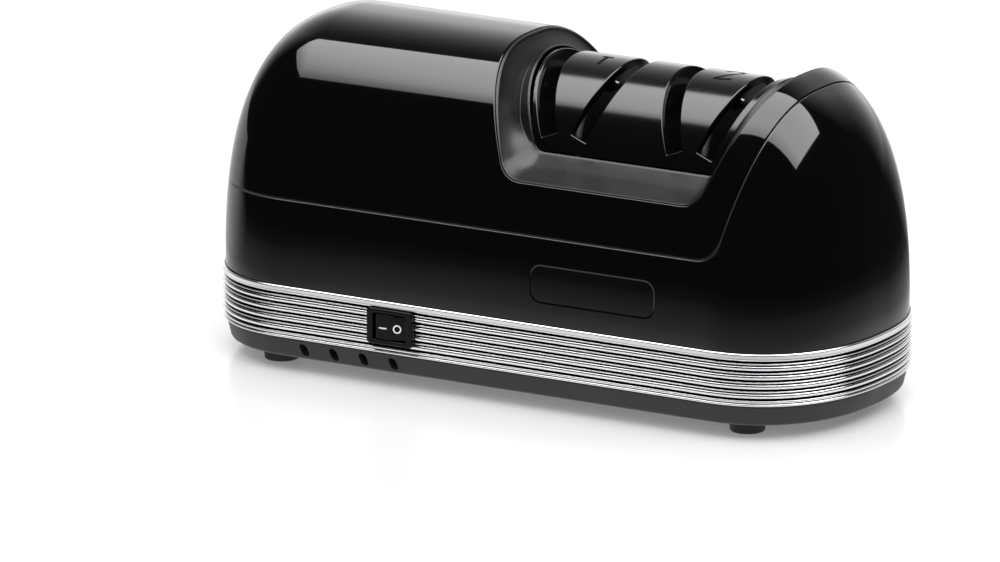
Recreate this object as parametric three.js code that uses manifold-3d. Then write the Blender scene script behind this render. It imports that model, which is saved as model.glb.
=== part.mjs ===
// Electric two-stage knife sharpener: a glossy two-part housing on a ribbed bright band,
// a saddle-shaped slot frame with a half-round slot barrel, and one shaft that carries
// the motor and two pairs of sprung grinding wheels. Millimetres, +Z up, front towards -Y.

import * as THREE from 'three';
import { mergeVertices } from 'three/addons/utils/BufferGeometryUtils.js';
import Module from 'manifold-3d';

const wasm = await Module();
wasm.setup();

// Whole object
const bodyLength = 209.4;
const bodyWidth = 86.6;
const bodyHeight = 99;
const endRound = 35.4;
const planPower = 2.28;
const archPower = 2.65;
const gap = 0.3;
const fitGap = 0.15;
const cutOver = 3;

// Levels above the table
const footHeight = 4;
const bandBottom = 10.2;
const bandTop = 25.4;
const seamDrop = 48.3;
const seamHeight = bodyHeight - seamDrop;

// Housing shells
const shellStep = 0.8;
const shellWall = 2.8;
const neckInset = 1.7;
const seamTurnX = 71.8;
const seamLeanShare = 0.28;
const seamTurnRadius = 8;

// Ribbed band
const ribCount = 5;
const ribDepth = 0.7;
const bandBack = 1.4;
const lipHeight = 1.7;
const beadHeight = 0.7;

// Notch frame and slot barrel
const notchCentre = 33.8;
const notchHalf = 31.1;
const notchRise = 14.8;
const notchBottom = seamHeight + notchRise;
const notchLeanShare = 0.4;
const notchCorner = 8;
const frameRim = 3.2;
const frameThick = 2;
const barrelRadius = 23.8;
const barrelDrop = 28.4;
const barrelAxis = bodyHeight - barrelDrop;
const barrelWall = 2.2;
const barrelFoot = 28.8;
const barrelLeanShare = 0.36;
const barrelCorner = 3.6;
const ledgeRise = 5.2;
const ledgeInnerZ = notchBottom + ledgeRise;
const slotWidth = 5.4;
const slotLean = 21;
const slotRise = 5.1;
const slotBottom = barrelAxis + slotRise;
const slotOffset = 4.8;
const stagePitch = 41;
const stageCentre = 33.3;
const guideThick = 1.6;
const guideRise = 2.6;
const guideBottom = barrelAxis + guideRise;
const magnetRadius = 0.9;
const magnetLength = 1;
const magnetProud = 0.5;
const magnetDepth = 7.2;
const magnetHeight = barrelAxis + barrelRadius - magnetDepth;
const magnetForward = 4.7;
const padBottom = 85.8;
const padReach = 7.5;

// Base tray, feet and base screws
const baseWall = 2.6;
const baseFloor = 2.4;
const baseTopInset = 1;
const baseFootInset = 2.1;
const baseEdge = 1.2;
const ventCount = 4;
const ventWidth = 2.6;
const ventPitch = 9.9;
const ventFirstX = -62.4;
const ventLow = 5;
const ventHigh = 8.7;
const footEndInset = 27.7;
const footSideInset = 13.3;
const footX = bodyLength / 2 - footEndInset;
const footY = bodyWidth / 2 - footSideInset;
const footRadius = 5;
const footFlare = 0.4;
const footPocket = 0.7;
const footStem = 2;
const footBarb = 2.7;
const footBarbHeight = 1.2;
const screwEndInset = 16.7;
const screwSideInset = 12.7;
const screwX = bodyLength / 2 - screwEndInset;
const screwY = bodyWidth / 2 - screwSideInset;
const screwShank = 1.6;
const screwHead = 2.9;
const screwDriveShare = 0.6;
const screwHeadHeight = 2;
const screwTop = 23;
const bossRadius = 4;
const bossTop = 27;
const bossBore = 1.9;
const postRadius = 4.6;

// Rocker switch in the band
const switchX = -32.4;
const switchZ = 18.24;
const switchWidth = 15;
const switchTall = 10.5;
const switchProud = 1.3;
const switchRim = 1.4;
const switchHole = 13;
const switchHoleTall = 8.7;
const switchDepth = 13;
const switchSkin = 1;
const rockerPivotBack = 2.4;
const rockerTilt = 8;
const rockerAxle = 0.9;
const rockerDepth = 4.2;
const rockerClear = 0.8;
const terminalWidth = 4.8;
const terminalThick = 0.8;
const terminalLength = 7;
const terminalSpread = 3.4;

// Cord gland at the back
const glandX = 52;
const glandZ = 17.8;
const glandHole = 4.2;
const glandFlange = 6.2;
const glandProud = 1.3;
const glandBore = 2.6;
const glandDepth = 9;

// Drive frame that carries the motor and the spindle
const driveZ = barrelAxis;
const deckBottom = 12.4;
const deckThick = 3;
const deckLeftInset = 26.7;
const deckRightInset = 28.7;
const deckSideInset = 17.3;
const deckLeft = deckLeftInset - bodyLength / 2;
const deckRight = bodyLength / 2 - deckRightInset;
const deckHalf = bodyWidth / 2 - deckSideInset;
const deckLegRadius = 4;
const deckLegInset = 6;
const deckLegEnd = 18;
const deckLegX = deckRight - deckLegEnd;
const deckLegY = deckHalf - deckLegInset;
const saddleThick = 5;
const saddleRise = 8;
const saddleInset = 4;
const saddleHalf = deckHalf - saddleInset;
const pedestalThick = 6;
const pedestalHalf = 9;
const pedestalHead = 8;
const leftPedestalX = -5;
const rightPedestalInset = 6;
const rightPedestalX = deckRight - rightPedestalInset;

// Motor
const motorX = -50;
const coreLength = 24;
const coreRadius = 24;
const coreBore = 13.3;
const windowNear = 10.5;
const windowFar = 16.4;
const windowLow = 8.6;
const windowHigh = 15.2;
const coilOverhang = 7.5;
const coilWidth = 5;
const endFrameOffset = 25;
const endFrameThick = 3;
const endFrameRadius = 22.6;
const bearingRadius = 6;
const bearingLength = 8;
const bearingBulge = 1.2;
const endWindow = 10;
const holderWidth = 7;
const holderHeight = 9;
const holderStart = 10.4;
const holderLength = 6;
const brushWidth = 4.4;
const brushHeight = 6.4;
const brushLength = 7.6;
const tieRodRadius = 1.5;
const tieRodSpread = 18.4;

// Rotor, coupling and fan
const shaftRadius = 2.5;
const motorShaftLeft = -86;
const motorShaftRight = -13;
const rotorRadius = 12.7;
const rotorTeeth = 10;
const rotorSlotDepth = 3.2;
const rotorSlotShare = 0.34;
const windingRadius = 8.5;
const windingNeck = 6;
const windingLength = 4.6;
const commutatorRadius = 8;
const commutatorLength = 7;
const commutatorBars = 12;
const commutatorGroove = 0.8;
const fanX = -21.7;
const fanRadius = 14.8;
const fanWidth = 5;
const fanHub = 6;
const fanDisc = 1;
const fanBlades = 9;
const fanBladeThick = 1.2;
const couplingRadius = 6;
const couplingLeft = -16.2;
const couplingRight = -8.8;

// Grinding spindle, wheels and springs
const spindleRadius = 3;
const spindleLeft = -12.4;
const spindleRight = rightPedestalX + pedestalThick;
const wheelClear = 0.4;
const wheelRadius = barrelRadius - barrelWall - wheelClear;
const wheelFace = 4.3;
const wheelPlate = 2;
const wheelBevelDepth = 1.3;
const wheelBevelWidth = 3.6;
const wheelBevelRadius = wheelRadius - wheelBevelWidth;
const wheelHub = 4.6;
const wheelHubLength = 4;
const wheelPocket = 6;
const wheelPocketDepth = 0.6;
const clipRadius = 4.6;
const clipThick = 0.8;
const springRadius = 4.6;
const springWire = 0.5;
const springTurns = 3;
const springSteps = 8;
const springSides = 5;

// Circuit board
const boardX = 22;
const boardLength = 34;
const boardHalf = 13;
const boardThick = 1.6;
const boardLift = 4;
const capacitorRadius = 5;
const capacitorLength = 12;
const boardStud = 1.6;

// Facet counts
const archSteps = 9;
const endSteps = 7;
const planSteps = 6;
const roundSides = 12;
const wheelSides = 24;
const sideSteps = 7;
const cornerSteps = 4;
const settleSteps = 8;
const cutSides = 8;
const ventSteps = 3;
const coilSteps = 4;
const barrelSteps = 12;
const mergeShare = 1e-5;

const halfLength = bodyLength / 2;
const halfWidth = bodyWidth / 2;
const quarter = Math.PI / 2;
const group = new THREE.Group();

// Solids and booleans

function bare(geometry) {
  const plain = geometry.clone();
  plain.deleteAttribute('normal');
  plain.deleteAttribute('uv');
  return mergeVertices(plain, mergeShare);
}

function solid(geometry) {
  const plain = bare(geometry);
  const vertProperties = new Float32Array(plain.attributes.position.array);
  const triVerts = new Uint32Array(plain.index.array);
  return new wasm.Manifold(new wasm.Mesh({ numProp: 3, vertProperties, triVerts }));
}

function unsolid(body) {
  const mesh = body.getMesh();
  const geometry = new THREE.BufferGeometry();
  const positions = new Float32Array(mesh.vertProperties);
  geometry.setAttribute('position', new THREE.BufferAttribute(positions, 3));
  geometry.setIndex(new THREE.BufferAttribute(new Uint32Array(mesh.triVerts), 1));
  return geometry;
}

function cut(base, ...tools) {
  return unsolid(tools.reduce((left, tool) => left.subtract(solid(tool)), solid(base)));
}

function join(...pieces) {
  return unsolid(pieces.slice(1).reduce((sum, piece) => sum.add(solid(piece)), solid(pieces[0])));
}

function overlap(first, second) {
  return unsolid(solid(first).intersect(solid(second)));
}

function place(geometry, name, colour, roughness, metalness) {
  const material = new THREE.MeshStandardMaterial({ color: colour, roughness, metalness });
  const mesh = new THREE.Mesh(geometry, material);
  mesh.name = name;
  group.add(mesh);
  return mesh;
}

// Basic forms: a box between two corners, round bars along each axis, profiles along an axis

function block(x0, x1, y0, y1, z0, z1) {
  const box = new THREE.BoxGeometry(x1 - x0, y1 - y0, z1 - z0);
  return box.translate((x0 + x1) / 2, (y0 + y1) / 2, (z0 + z1) / 2);
}

function lathe(profile, sides) {
  const points = profile.map(([radius, along]) => new THREE.Vector2(radius, along));
  return new THREE.LatheGeometry(points, sides);
}

// A revolved profile of [radius, x] pairs about the drive axis
function turnedX(profile, sides = roundSides) {
  return lathe(profile, sides).rotateZ(-quarter).translate(0, 0, driveZ);
}

function turnedZ(profile, x, y, sides = roundSides) {
  return lathe(profile, sides).rotateX(quarter).translate(x, y, 0);
}

function barX(radius, x0, x1, sides = roundSides) {
  return turnedX([[0, x0], [radius, x0], [radius, x1], [0, x1]], sides);
}

function barZ(radius, z0, z1, x, y, sides = roundSides) {
  return turnedZ([[0, z0], [radius, z0], [radius, z1], [0, z1]], x, y, sides);
}

function barY(radius, y0, y1, x, z, sides = roundSides) {
  const profile = [[0, y0], [radius, y0], [radius, y1], [0, y1]];
  return lathe(profile, sides).translate(x, 0, z);
}

// A sleeve on the drive axis, with its bore open at both ends
function sleeveX(outer, inner, x0, x1, sides = roundSides) {
  const profile = [[inner, x0], [outer, x0], [outer, x1], [inner, x1], [inner, x0]];
  return turnedX(profile, sides);
}

function shapeOf(points) {
  return new THREE.Shape(points.map(([u, v]) => new THREE.Vector2(u, v)));
}

// A profile of [x, z] points carried along Y
function prismY(points, y0, y1) {
  const settings = { depth: y1 - y0, bevelEnabled: false, curveSegments: cornerSteps };
  const shape = points instanceof THREE.Shape ? points : shapeOf(points);
  return new THREE.ExtrudeGeometry(shape, settings).rotateX(quarter).translate(0, y1, 0);
}

// A profile of [y, z] points carried along X
function prismX(points, x0, x1) {
  const settings = { depth: x1 - x0, bevelEnabled: false, curveSegments: barrelSteps };
  const shape = points instanceof THREE.Shape ? points : shapeOf(points);
  const along = new THREE.Matrix4().makeBasis(
    new THREE.Vector3(0, 1, 0),
    new THREE.Vector3(0, 0, 1),
    new THREE.Vector3(1, 0, 0),
  );
  return new THREE.ExtrudeGeometry(shape, settings).applyMatrix4(along).translate(x0, 0, 0);
}

// A skin through rings of points, closed at both ends or joined end to end
function loft(rings, endless = false) {
  const count = rings[0].length;
  const positions = rings.flat().flatMap((point) => [point.x, point.y, point.z]);
  const triangles = [];
  const bands = endless ? rings.length : rings.length - 1;
  for (let i = 0; i < bands; i += 1) {
    const here = i * count;
    const next = ((i + 1) % rings.length) * count;
    for (let j = 0; j < count; j += 1) {
      const k = (j + 1) % count;
      triangles.push(here + j, next + j, next + k, here + j, next + k, here + k);
    }
  }
  if (!endless) {
    const last = (rings.length - 1) * count;
    for (let j = 1; j < count - 1; j += 1) {
      triangles.push(0, j, j + 1, last, last + j + 1, last + j);
    }
  }
  return outward(positions, triangles);
}

// Turns every face over when the skin would enclose a negative volume
function outward(positions, triangles) {
  const corner = (index) => new THREE.Vector3().fromArray(positions, 3 * index);
  let volume = 0;
  for (let i = 0; i < triangles.length; i += 3) {
    const [a, b, c] = [0, 1, 2].map((step) => corner(triangles[i + step]));
    volume += a.dot(b.cross(c));
  }
  if (volume < 0) {
    triangles.reverse();
  }
  const geometry = new THREE.BufferGeometry();
  geometry.setAttribute('position', new THREE.Float32BufferAttribute(positions, 3));
  geometry.setIndex(triangles);
  return geometry;
}

// The housing form: half of a soft arch across, run along X and rounded off at both ends

function angles(steps, limit = quarter) {
  return Array.from({ length: steps + 1 }, (_, i) => (limit * i) / steps);
}

// Stations along X, each with the share of the full section that is left there
function stations(inset) {
  const straight = halfLength - endRound;
  const round = endRound - inset;
  const tipShare = 1 - 1 / (2 * endSteps);
  const half = angles(endSteps, quarter * tipShare).map((angle) => ({
    x: straight + round * Math.sin(angle) ** (2 / planPower),
    share: Math.cos(angle) ** (2 / planPower),
  }));
  const left = half.map((station) => ({ x: -station.x, share: station.share })).reverse();
  return [...left, ...half];
}

function archForm(inset, top) {
  return { half: halfWidth - inset, rise: top - bandTop };
}

function archPoint(form, angle, share = 1) {
  const y = form.half * share * Math.cos(angle) ** (2 / archPower);
  const z = bandTop + form.rise * share * Math.sin(angle) ** (2 / archPower);
  return { y, z };
}

function housingForm(inset, top, floor) {
  const form = archForm(inset, top);
  const rings = stations(inset).map(({ x, share }) => {
    const side = angles(archSteps).map((angle) => archPoint(form, angle, share));
    const right = side.map(({ y, z }) => new THREE.Vector3(x, y, z));
    const left = side.slice(0, -1).reverse().map(({ y, z }) => new THREE.Vector3(x, -y, z));
    const low = form.half * share;
    return [new THREE.Vector3(x, low, floor), ...right, ...left, new THREE.Vector3(x, -low, floor)];
  });
  return loft(rings);
}

// The plan outline at one level: straight sides and rounded ends, drawn in by an inset
function planRing(inset, z) {
  const straight = halfLength - endRound;
  const round = endRound - inset;
  const half = halfWidth - inset;
  const signs = [[1, 1], [-1, 1], [-1, -1], [1, -1]];
  return signs.flatMap(([sx, sy]) => {
    const turn = sx * sy > 0 ? angles(planSteps) : angles(planSteps).reverse();
    const points = turn.map((angle) => {
      const x = straight + round * Math.cos(angle) ** (2 / planPower);
      const y = half * Math.sin(angle) ** (2 / planPower);
      return new THREE.Vector3(sx * x, sy * y, z);
    });
    if (sy > 0) {
      return points;
    }
    return sx < 0 ? points.slice(1) : points.slice(0, -1);
  });
}

function planLoft(profile) {
  return loft(profile.map(([inset, z]) => planRing(inset, z)));
}

// The region above the seam and left of its leaning turn, as an [x, z] outline
function seamRegion(shift) {
  const level = seamHeight + shift;
  const lean = Math.atan(seamLeanShare);
  const far = bodyLength;
  const turnX = seamTurnX - shift;
  const shape = new THREE.Shape();
  const toTurn = seamTurnRadius * Math.tan((quarter - lean) / 2);
  shape.moveTo(-far, level);
  shape.lineTo(turnX - toTurn, level);
  const upX = turnX + toTurn * Math.sin(lean);
  const upZ = level + toTurn * Math.cos(lean);
  shape.quadraticCurveTo(turnX, level, upX, upZ);
  shape.lineTo(turnX + (far - level) * seamLeanShare, far);
  shape.lineTo(-far, far);
  return shape;
}

// The notch outline seen from the front, from the top of its left side round to the right.
// Each point also holds how far it stands out from the middle plane on the form's surface.
function notchOutline(form) {
  const leanAngle = Math.atan(form.lean);
  const reach = form.corner * Math.tan((quarter - leanAngle) / 2);
  const sideZ = form.bottom + reach * Math.cos(leanAngle);
  const corner = new THREE.QuadraticBezierCurve(
    new THREE.Vector2(form.half + reach * Math.sin(leanAngle), sideZ),
    new THREE.Vector2(form.half, form.bottom),
    new THREE.Vector2(form.half - reach, form.bottom),
  );
  const low = corner.getPoints(cornerSteps).slice(1);
  const onForm = (x, z) => new THREE.Vector3(x, form.depthAt(z), z);
  const halfLine = (side) => [
    ...form.sidePoints(side, sideZ),
    ...low.map((point) => onForm(notchCentre + side * point.x, point.y)),
  ];
  return [...halfLine(-1), onForm(notchCentre, form.bottom), ...halfLine(1).reverse()];
}

function sideX(form, side, z) {
  return notchCentre + side * (form.half + (z - form.bottom) * form.lean);
}

function notchPrism(form) {
  const far = bodyHeight + bodyWidth;
  const plain = {
    ...form,
    depthAt: () => 0,
    sidePoints: (side) => [new THREE.Vector3(sideX(form, side, far), 0, far)],
  };
  return prismY(notchOutline(plain).map((point) => [point.x, point.z]), -bodyWidth, bodyWidth);
}

// The outline laid on a curved form: its front half, then its back half mirrored
function rimLoop(form) {
  const outline = notchOutline(form);
  const front = outline.map(({ x, y, z }) => new THREE.Vector3(x, -y, z));
  const back = outline.slice(1, -1).reverse();
  return [...front, ...back];
}

// The share of the full section that is left at a place along the housing
function shareAt(x, inset) {
  const part = Math.max(0, Math.abs(x) - halfLength + endRound) / (endRound - inset);
  return (1 - Math.min(1, part) ** planPower) ** (1 / planPower);
}

// A rim on the housing, drawn in by an inset: its side points are even along the arch's angle
function outerRim(inset, top) {
  const form = archForm(inset, top);
  const rim = {
    half: notchHalf,
    bottom: notchBottom,
    lean: notchLeanShare,
    corner: notchCorner,
  };
  rim.depthAt = (z) => form.half * (1 - ((z - bandTop) / form.rise) ** archPower) ** (1 / archPower);
  rim.sidePoints = (side, lowest) => {
    const lowAngle = Math.asin(((lowest - bandTop) / form.rise) ** (archPower / 2));
    return angles(sideSteps, quarter - lowAngle).map((angle) => {
      let point = archPoint(form, quarter - angle);
      for (let i = 0; i < settleSteps; i += 1) {
        point = archPoint(form, quarter - angle, shareAt(sideX(rim, side, point.z), inset));
      }
      return new THREE.Vector3(sideX(rim, side, point.z), point.y, point.z);
    });
  };
  return rim;
}

// The rim round the slot barrel
function innerRim() {
  const radius = barrelRadius + gap;
  const rim = {
    half: barrelFoot + gap,
    bottom: ledgeInnerZ,
    lean: barrelLeanShare,
    corner: barrelCorner,
  };
  rim.depthAt = (z) => Math.sqrt(radius ** 2 - (z - barrelAxis) ** 2);
  rim.sidePoints = (side, lowest) => {
    const lowAngle = Math.asin((lowest - barrelAxis) / radius);
    return angles(sideSteps, quarter - lowAngle).map((angle) => {
      const z = barrelAxis + radius * Math.cos(angle);
      return new THREE.Vector3(sideX(rim, side, z), radius * Math.sin(angle), z);
    });
  };
  return rim;
}

// Housing

function notchCutter() {
  return notchPrism({
    half: notchHalf + gap,
    bottom: notchBottom - gap,
    lean: notchLeanShare,
    corner: notchCorner,
  });
}

const innerInset = shellStep + shellWall;
const housingOuter = housingForm(shellStep, bodyHeight, bandTop + gap);
const housingInner = housingForm(innerInset, bodyHeight - shellWall, -cutOver);

function screwPlaces() {
  return [[-1, -1], [1, -1], [-1, 1], [1, 1]];
}

function lowerHousing() {
  const neck = planLoft([[neckInset, bandBottom + fitGap], [neckInset, bandTop + cutOver]]);
  const room = planLoft([[neckInset + gap, 0], [neckInset + gap, bodyHeight]]);
  const bosses = screwPlaces().map(([sx, sy]) => overlap(bossAt(sx * screwX, sy * screwY), room));
  const whole = join(cut(join(housingOuter, neck), housingInner), ...bosses);
  const above = prismY(seamRegion(-gap / 2), -bodyWidth, bodyWidth);
  return cut(whole, above, ...pilotHoles(), switchPass(), glandPass());
}

function bossAt(x, y) {
  return barZ(bossRadius, bandBottom + gap, bossTop, x, y, cutSides);
}

function pilotHoles() {
  const low = bandBottom - cutOver;
  return screwPlaces().map(([sx, sy]) =>
    barZ(bossBore, low, screwTop + screwShank, sx * screwX, sy * screwY, cutSides));
}

function switchPass() {
  const half = switchHole / 2 + gap;
  const tall = switchHoleTall / 2 + gap;
  return block(
    switchX - half,
    switchX + half,
    -bodyWidth,
    -halfWidth / 2,
    switchZ - tall,
    switchZ + tall,
  );
}

function glandPass() {
  return barY(glandHole + gap, halfWidth / 2, bodyWidth, glandX, glandZ);
}

function upperCover() {
  const shell = cut(housingOuter, housingInner);
  const above = prismY(seamRegion(gap / 2), -bodyWidth, bodyWidth);
  return cut(overlap(shell, above), notchCutter());
}

// The saddle-shaped frame: outer rim on the housing, ledge up to the barrel, and a tucked lip
function slotFrame() {
  const outer = rimLoop(outerRim(shellStep, bodyHeight));
  const inner = rimLoop(innerRim());
  const under = inner.map((point) => new THREE.Vector3(point.x, point.y, point.z - frameThick));
  const tucked = rimLoop(outerRim(shellStep + frameRim, bodyHeight - frameRim));
  return loft([outer, inner, under, tucked], true);
}

// Slot barrel: a hollow half-round bridge with leaning slots and guide walls

function archProfile(radius, low) {
  const shape = new THREE.Shape();
  shape.moveTo(-radius, low);
  shape.lineTo(-radius, barrelAxis);
  shape.absarc(0, barrelAxis, radius, Math.PI, 0, true);
  shape.lineTo(radius, low);
  return shape;
}

function barrelEnds(shrink, drop) {
  return notchPrism({
    half: barrelFoot - shrink - drop * barrelLeanShare,
    bottom: ledgeInnerZ + gap - drop,
    lean: barrelLeanShare,
    corner: barrelCorner,
  });
}

const slotSlices = [
  { centre: stageCentre - stagePitch / 2 - slotOffset, side: -1 },
  { centre: stageCentre - stagePitch / 2 + slotOffset, side: 1 },
  { centre: stageCentre + stagePitch / 2 - slotOffset, side: -1 },
  { centre: stageCentre + stagePitch / 2 + slotOffset, side: 1 },
];

// A slab that leans outwards with its slot, from a start to an end across the slot
function leaningSlab({ centre, side }, from, to, low, high, halfDepth) {
  const slab = block(from, to, -halfDepth, halfDepth, low - slotBottom, high - slotBottom);
  const turn = THREE.MathUtils.degToRad(slotLean) * side;
  return slab.rotateY(turn).translate(centre, 0, slotBottom);
}

function slotCutter(slice) {
  const far = bodyHeight + bodyWidth;
  return leaningSlab(slice, -slotWidth / 2, slotWidth / 2, slotBottom, far, bodyWidth);
}

function guideWall(slice) {
  const near = (slotWidth / 2 - guideThick / 2) * slice.side;
  const far = (slotWidth / 2 + guideThick) * slice.side;
  const [from, to] = [Math.min(near, far), Math.max(near, far)];
  return leaningSlab(slice, from, to, guideBottom, bodyHeight, halfWidth);
}

// A pad over the wheel on the slot's inner wall, which carries the guide magnet
function guidePad(slice) {
  const near = -(slotWidth / 2 - guideThick / 2) * slice.side;
  const far = -(slotWidth / 2 + guideThick) * slice.side;
  const [from, to] = [Math.min(near, far), Math.max(near, far)];
  return leaningSlab(slice, from, to, padBottom, bodyHeight, padReach);
}

function magnetPlace({ centre, side }) {
  const lean = THREE.MathUtils.degToRad(slotLean);
  const up = (magnetHeight - slotBottom) / Math.cos(lean);
  return { up, turn: lean * side, centre, side };
}

function magnetBar(slice, radius, start, depth) {
  const spot = magnetPlace(slice);
  const near = -(slotWidth / 2 + start) * spot.side;
  const bar = lathe([[0, 0], [radius, 0], [radius, depth], [0, depth]], cutSides);
  bar.rotateZ(quarter * spot.side).translate(near, -magnetForward, spot.up);
  return bar.rotateY(spot.turn).translate(spot.centre, 0, slotBottom);
}

function shaftTunnel() {
  const half = wheelHub + gap + fitGap;
  const top = driveZ + half;
  return block(-bodyLength, bodyLength, -half, half, 0, top);
}

function slotBarrel() {
  const archAt = (inset) => prismX(archProfile(barrelRadius - inset, 0), -bodyLength, bodyLength);
  const outer = overlap(archAt(0), barrelEnds(0, 0));
  const inner = overlap(archAt(barrelWall), barrelEnds(barrelWall, cutOver));
  const bridge = cut(outer, inner);
  const middle = overlap(archAt(barrelWall / 2), barrelEnds(barrelWall / 2, 0));
  const guides = slotSlices.map((slice) => overlap(guideWall(slice), middle));
  const pads = slotSlices.map((slice) => overlap(guidePad(slice), middle));
  const whole = join(bridge, ...guides, ...pads);
  const wheelRooms = stageCentres().map((centre) => wheelRoom(centre));
  const pocketDepth = cutOver + magnetLength + fitGap;
  const pockets = slotSlices.map((slice) =>
    magnetBar(slice, magnetRadius + fitGap, -cutOver, pocketDepth));
  return cut(whole, ...slotSlices.map(slotCutter), ...wheelRooms, ...pockets, shaftTunnel());
}

function stageCentres() {
  return [stageCentre - stagePitch / 2, stageCentre + stagePitch / 2];
}

// The space that a stage's two wheels need, with their travel
function wheelRoom(centre) {
  const half = wheelFace + gap;
  return barX(barrelRadius - barrelWall + gap, centre - half, centre + half, wheelSides);
}

// Band, base tray and feet

function bandProfile() {
  const ribZone = bandTop - bandBottom - lipHeight;
  const pitch = ribZone / ribCount;
  const points = [[bandBack, bandBottom], [0, bandBottom]];
  points.push([0, bandBottom + lipHeight - beadHeight / 2]);
  for (let i = 0; i < ribCount; i += 1) {
    const low = bandBottom + lipHeight + i * pitch;
    points.push([ribDepth, low]);
    points.push([0, low + beadHeight / 2]);
    points.push([0, low + pitch - beadHeight]);
  }
  points.push([ribDepth / 2, bandTop], [bandBack, bandTop]);
  return points;
}

function trimBand() {
  const band = loft(bandProfile().map(([inset, z]) => planRing(inset, z)), true);
  return cut(band, switchPass(), glandPass());
}

function baseTray() {
  const top = bandBottom - gap;
  const outer = planLoft([
    [baseFootInset + baseEdge, footHeight],
    [baseFootInset + baseEdge / 4, footHeight + baseEdge / 4],
    [baseFootInset, footHeight + baseEdge],
    [baseTopInset, top],
  ]);
  const floor = footHeight + baseFloor;
  const wallInset = baseFootInset + baseWall;
  const inner = planLoft([[wallInset, floor], [baseTopInset + baseWall, top + cutOver]]);
  const tray = cut(outer, inner);
  const posts = screwPlaces().map(([sx, sy]) =>
    barZ(postRadius, footHeight + baseEdge, top + fitGap, sx * screwX, sy * screwY, cutSides));
  const legs = deckLegPlaces().map(([x, y]) =>
    barZ(deckLegRadius, floor - baseEdge, deckBottom - gap, x, y, cutSides));
  const whole = join(tray, ...posts, ...legs);
  return cut(whole, ...screwWells(), ...footHoles(), ...vents());
}

function screwWells() {
  const wellTop = footHeight + baseEdge + screwHeadHeight + gap;
  return screwPlaces().flatMap(([sx, sy]) => [
    barZ(screwHead + gap, footHeight - cutOver, wellTop, sx * screwX, sy * screwY, cutSides),
    barZ(bossBore, footHeight, bandBottom + cutOver, sx * screwX, sy * screwY, cutSides),
  ]);
}

function footHoles() {
  const pocketRadius = footRadius + footFlare + gap;
  const floorTop = footHeight + baseFloor + cutOver;
  return screwPlaces().flatMap(([sx, sy]) => [
    barZ(pocketRadius, footHeight - cutOver, footHeight + footPocket, sx * footX, sy * footY),
    barZ(footStem + gap, footHeight, floorTop, sx * footX, sy * footY, cutSides),
  ]);
}

function vents() {
  const places = [];
  for (let i = 0; i < ventCount; i += 1) {
    places.push(ventFirstX + i * ventPitch);
  }
  return places.map((x) => {
    const half = ventWidth / 2;
    const shape = new THREE.Shape();
    shape.moveTo(x - half, ventLow + half);
    shape.lineTo(x - half, ventHigh - half);
    shape.absarc(x, ventHigh - half, half, Math.PI, 0, true);
    shape.lineTo(x + half, ventLow + half);
    shape.absarc(x, ventLow + half, half, 0, -Math.PI, true);
    const settings = { depth: 2 * bodyWidth, bevelEnabled: false, curveSegments: ventSteps };
    return new THREE.ExtrudeGeometry(shape, settings).rotateX(quarter).translate(0, bodyWidth, 0);
  });
}

function rubberFoot(x, y) {
  const pocketTop = footHeight + footPocket - gap;
  const floorTop = footHeight + baseFloor + gap;
  return turnedZ([
    [0, 0],
    [footRadius, 0],
    [footRadius + footFlare, pocketTop],
    [footStem, pocketTop],
    [footStem, floorTop],
    [footBarb, floorTop],
    [footStem / 2, floorTop + footBarbHeight],
    [0, floorTop + footBarbHeight],
  ], x, y);
}

function baseScrew(x, y) {
  const headLow = footHeight + baseEdge;
  const headTop = headLow + screwHeadHeight;
  const driveDepth = screwHeadHeight / 2;
  const body = turnedZ([
    [0, headLow],
    [screwHead, headLow],
    [screwHead, headTop],
    [screwShank, headTop],
    [screwShank, screwTop - screwShank],
    [0, screwTop],
  ], x, y, cutSides);
  const arm = screwHead * screwDriveShare;
  const thin = screwShank / 4;
  const low = headLow - cutOver;
  const drive = headLow + driveDepth;
  return cut(
    body,
    block(x - arm, x + arm, y - thin, y + thin, low, drive),
    block(x - thin, x + thin, y - arm, y + arm, low, drive),
  );
}

// Rocker switch

function roundedBox(halfX, halfZ, radius, x, z) {
  const shape = new THREE.Shape();
  shape.absarc(x + halfX - radius, z + halfZ - radius, radius, 0, quarter, false);
  shape.absarc(x - halfX + radius, z + halfZ - radius, radius, quarter, Math.PI, false);
  shape.absarc(x - halfX + radius, z - halfZ + radius, radius, Math.PI, Math.PI + quarter, false);
  shape.absarc(x + halfX - radius, z - halfZ + radius, radius, -quarter, 0, false);
  return shape;
}

const bandFace = -halfWidth;

function switchFrame() {
  const face = bandFace - switchProud;
  const flange = prismY(
    roundedBox(switchWidth / 2, switchTall / 2, switchSkin, switchX, switchZ),
    face,
    bandFace - gap,
  );
  const sleeve = prismY(
    roundedBox(switchHole / 2, switchHoleTall / 2, switchSkin / 2, switchX, switchZ),
    bandFace - gap - switchSkin / 4,
    bandFace + switchDepth,
  );
  const halfX = switchWidth / 2 - switchRim - switchSkin;
  const halfZ = switchHoleTall / 2 - switchSkin;
  const mouth = block(
    switchX - halfX,
    switchX + halfX,
    face - cutOver,
    bandFace + switchDepth - switchSkin,
    switchZ - halfZ,
    switchZ + halfZ,
  );
  const pins = rockerPinBar(rockerAxle + fitGap, halfZ + switchSkin / 2);
  return cut(join(flange, sleeve), mouth, pins, ...terminalSlots());
}

function rockerPinBar(radius, reach) {
  return barZ(radius, switchZ - reach, switchZ + reach, switchX, bandFace + rockerPivotBack, cutSides);
}

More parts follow.
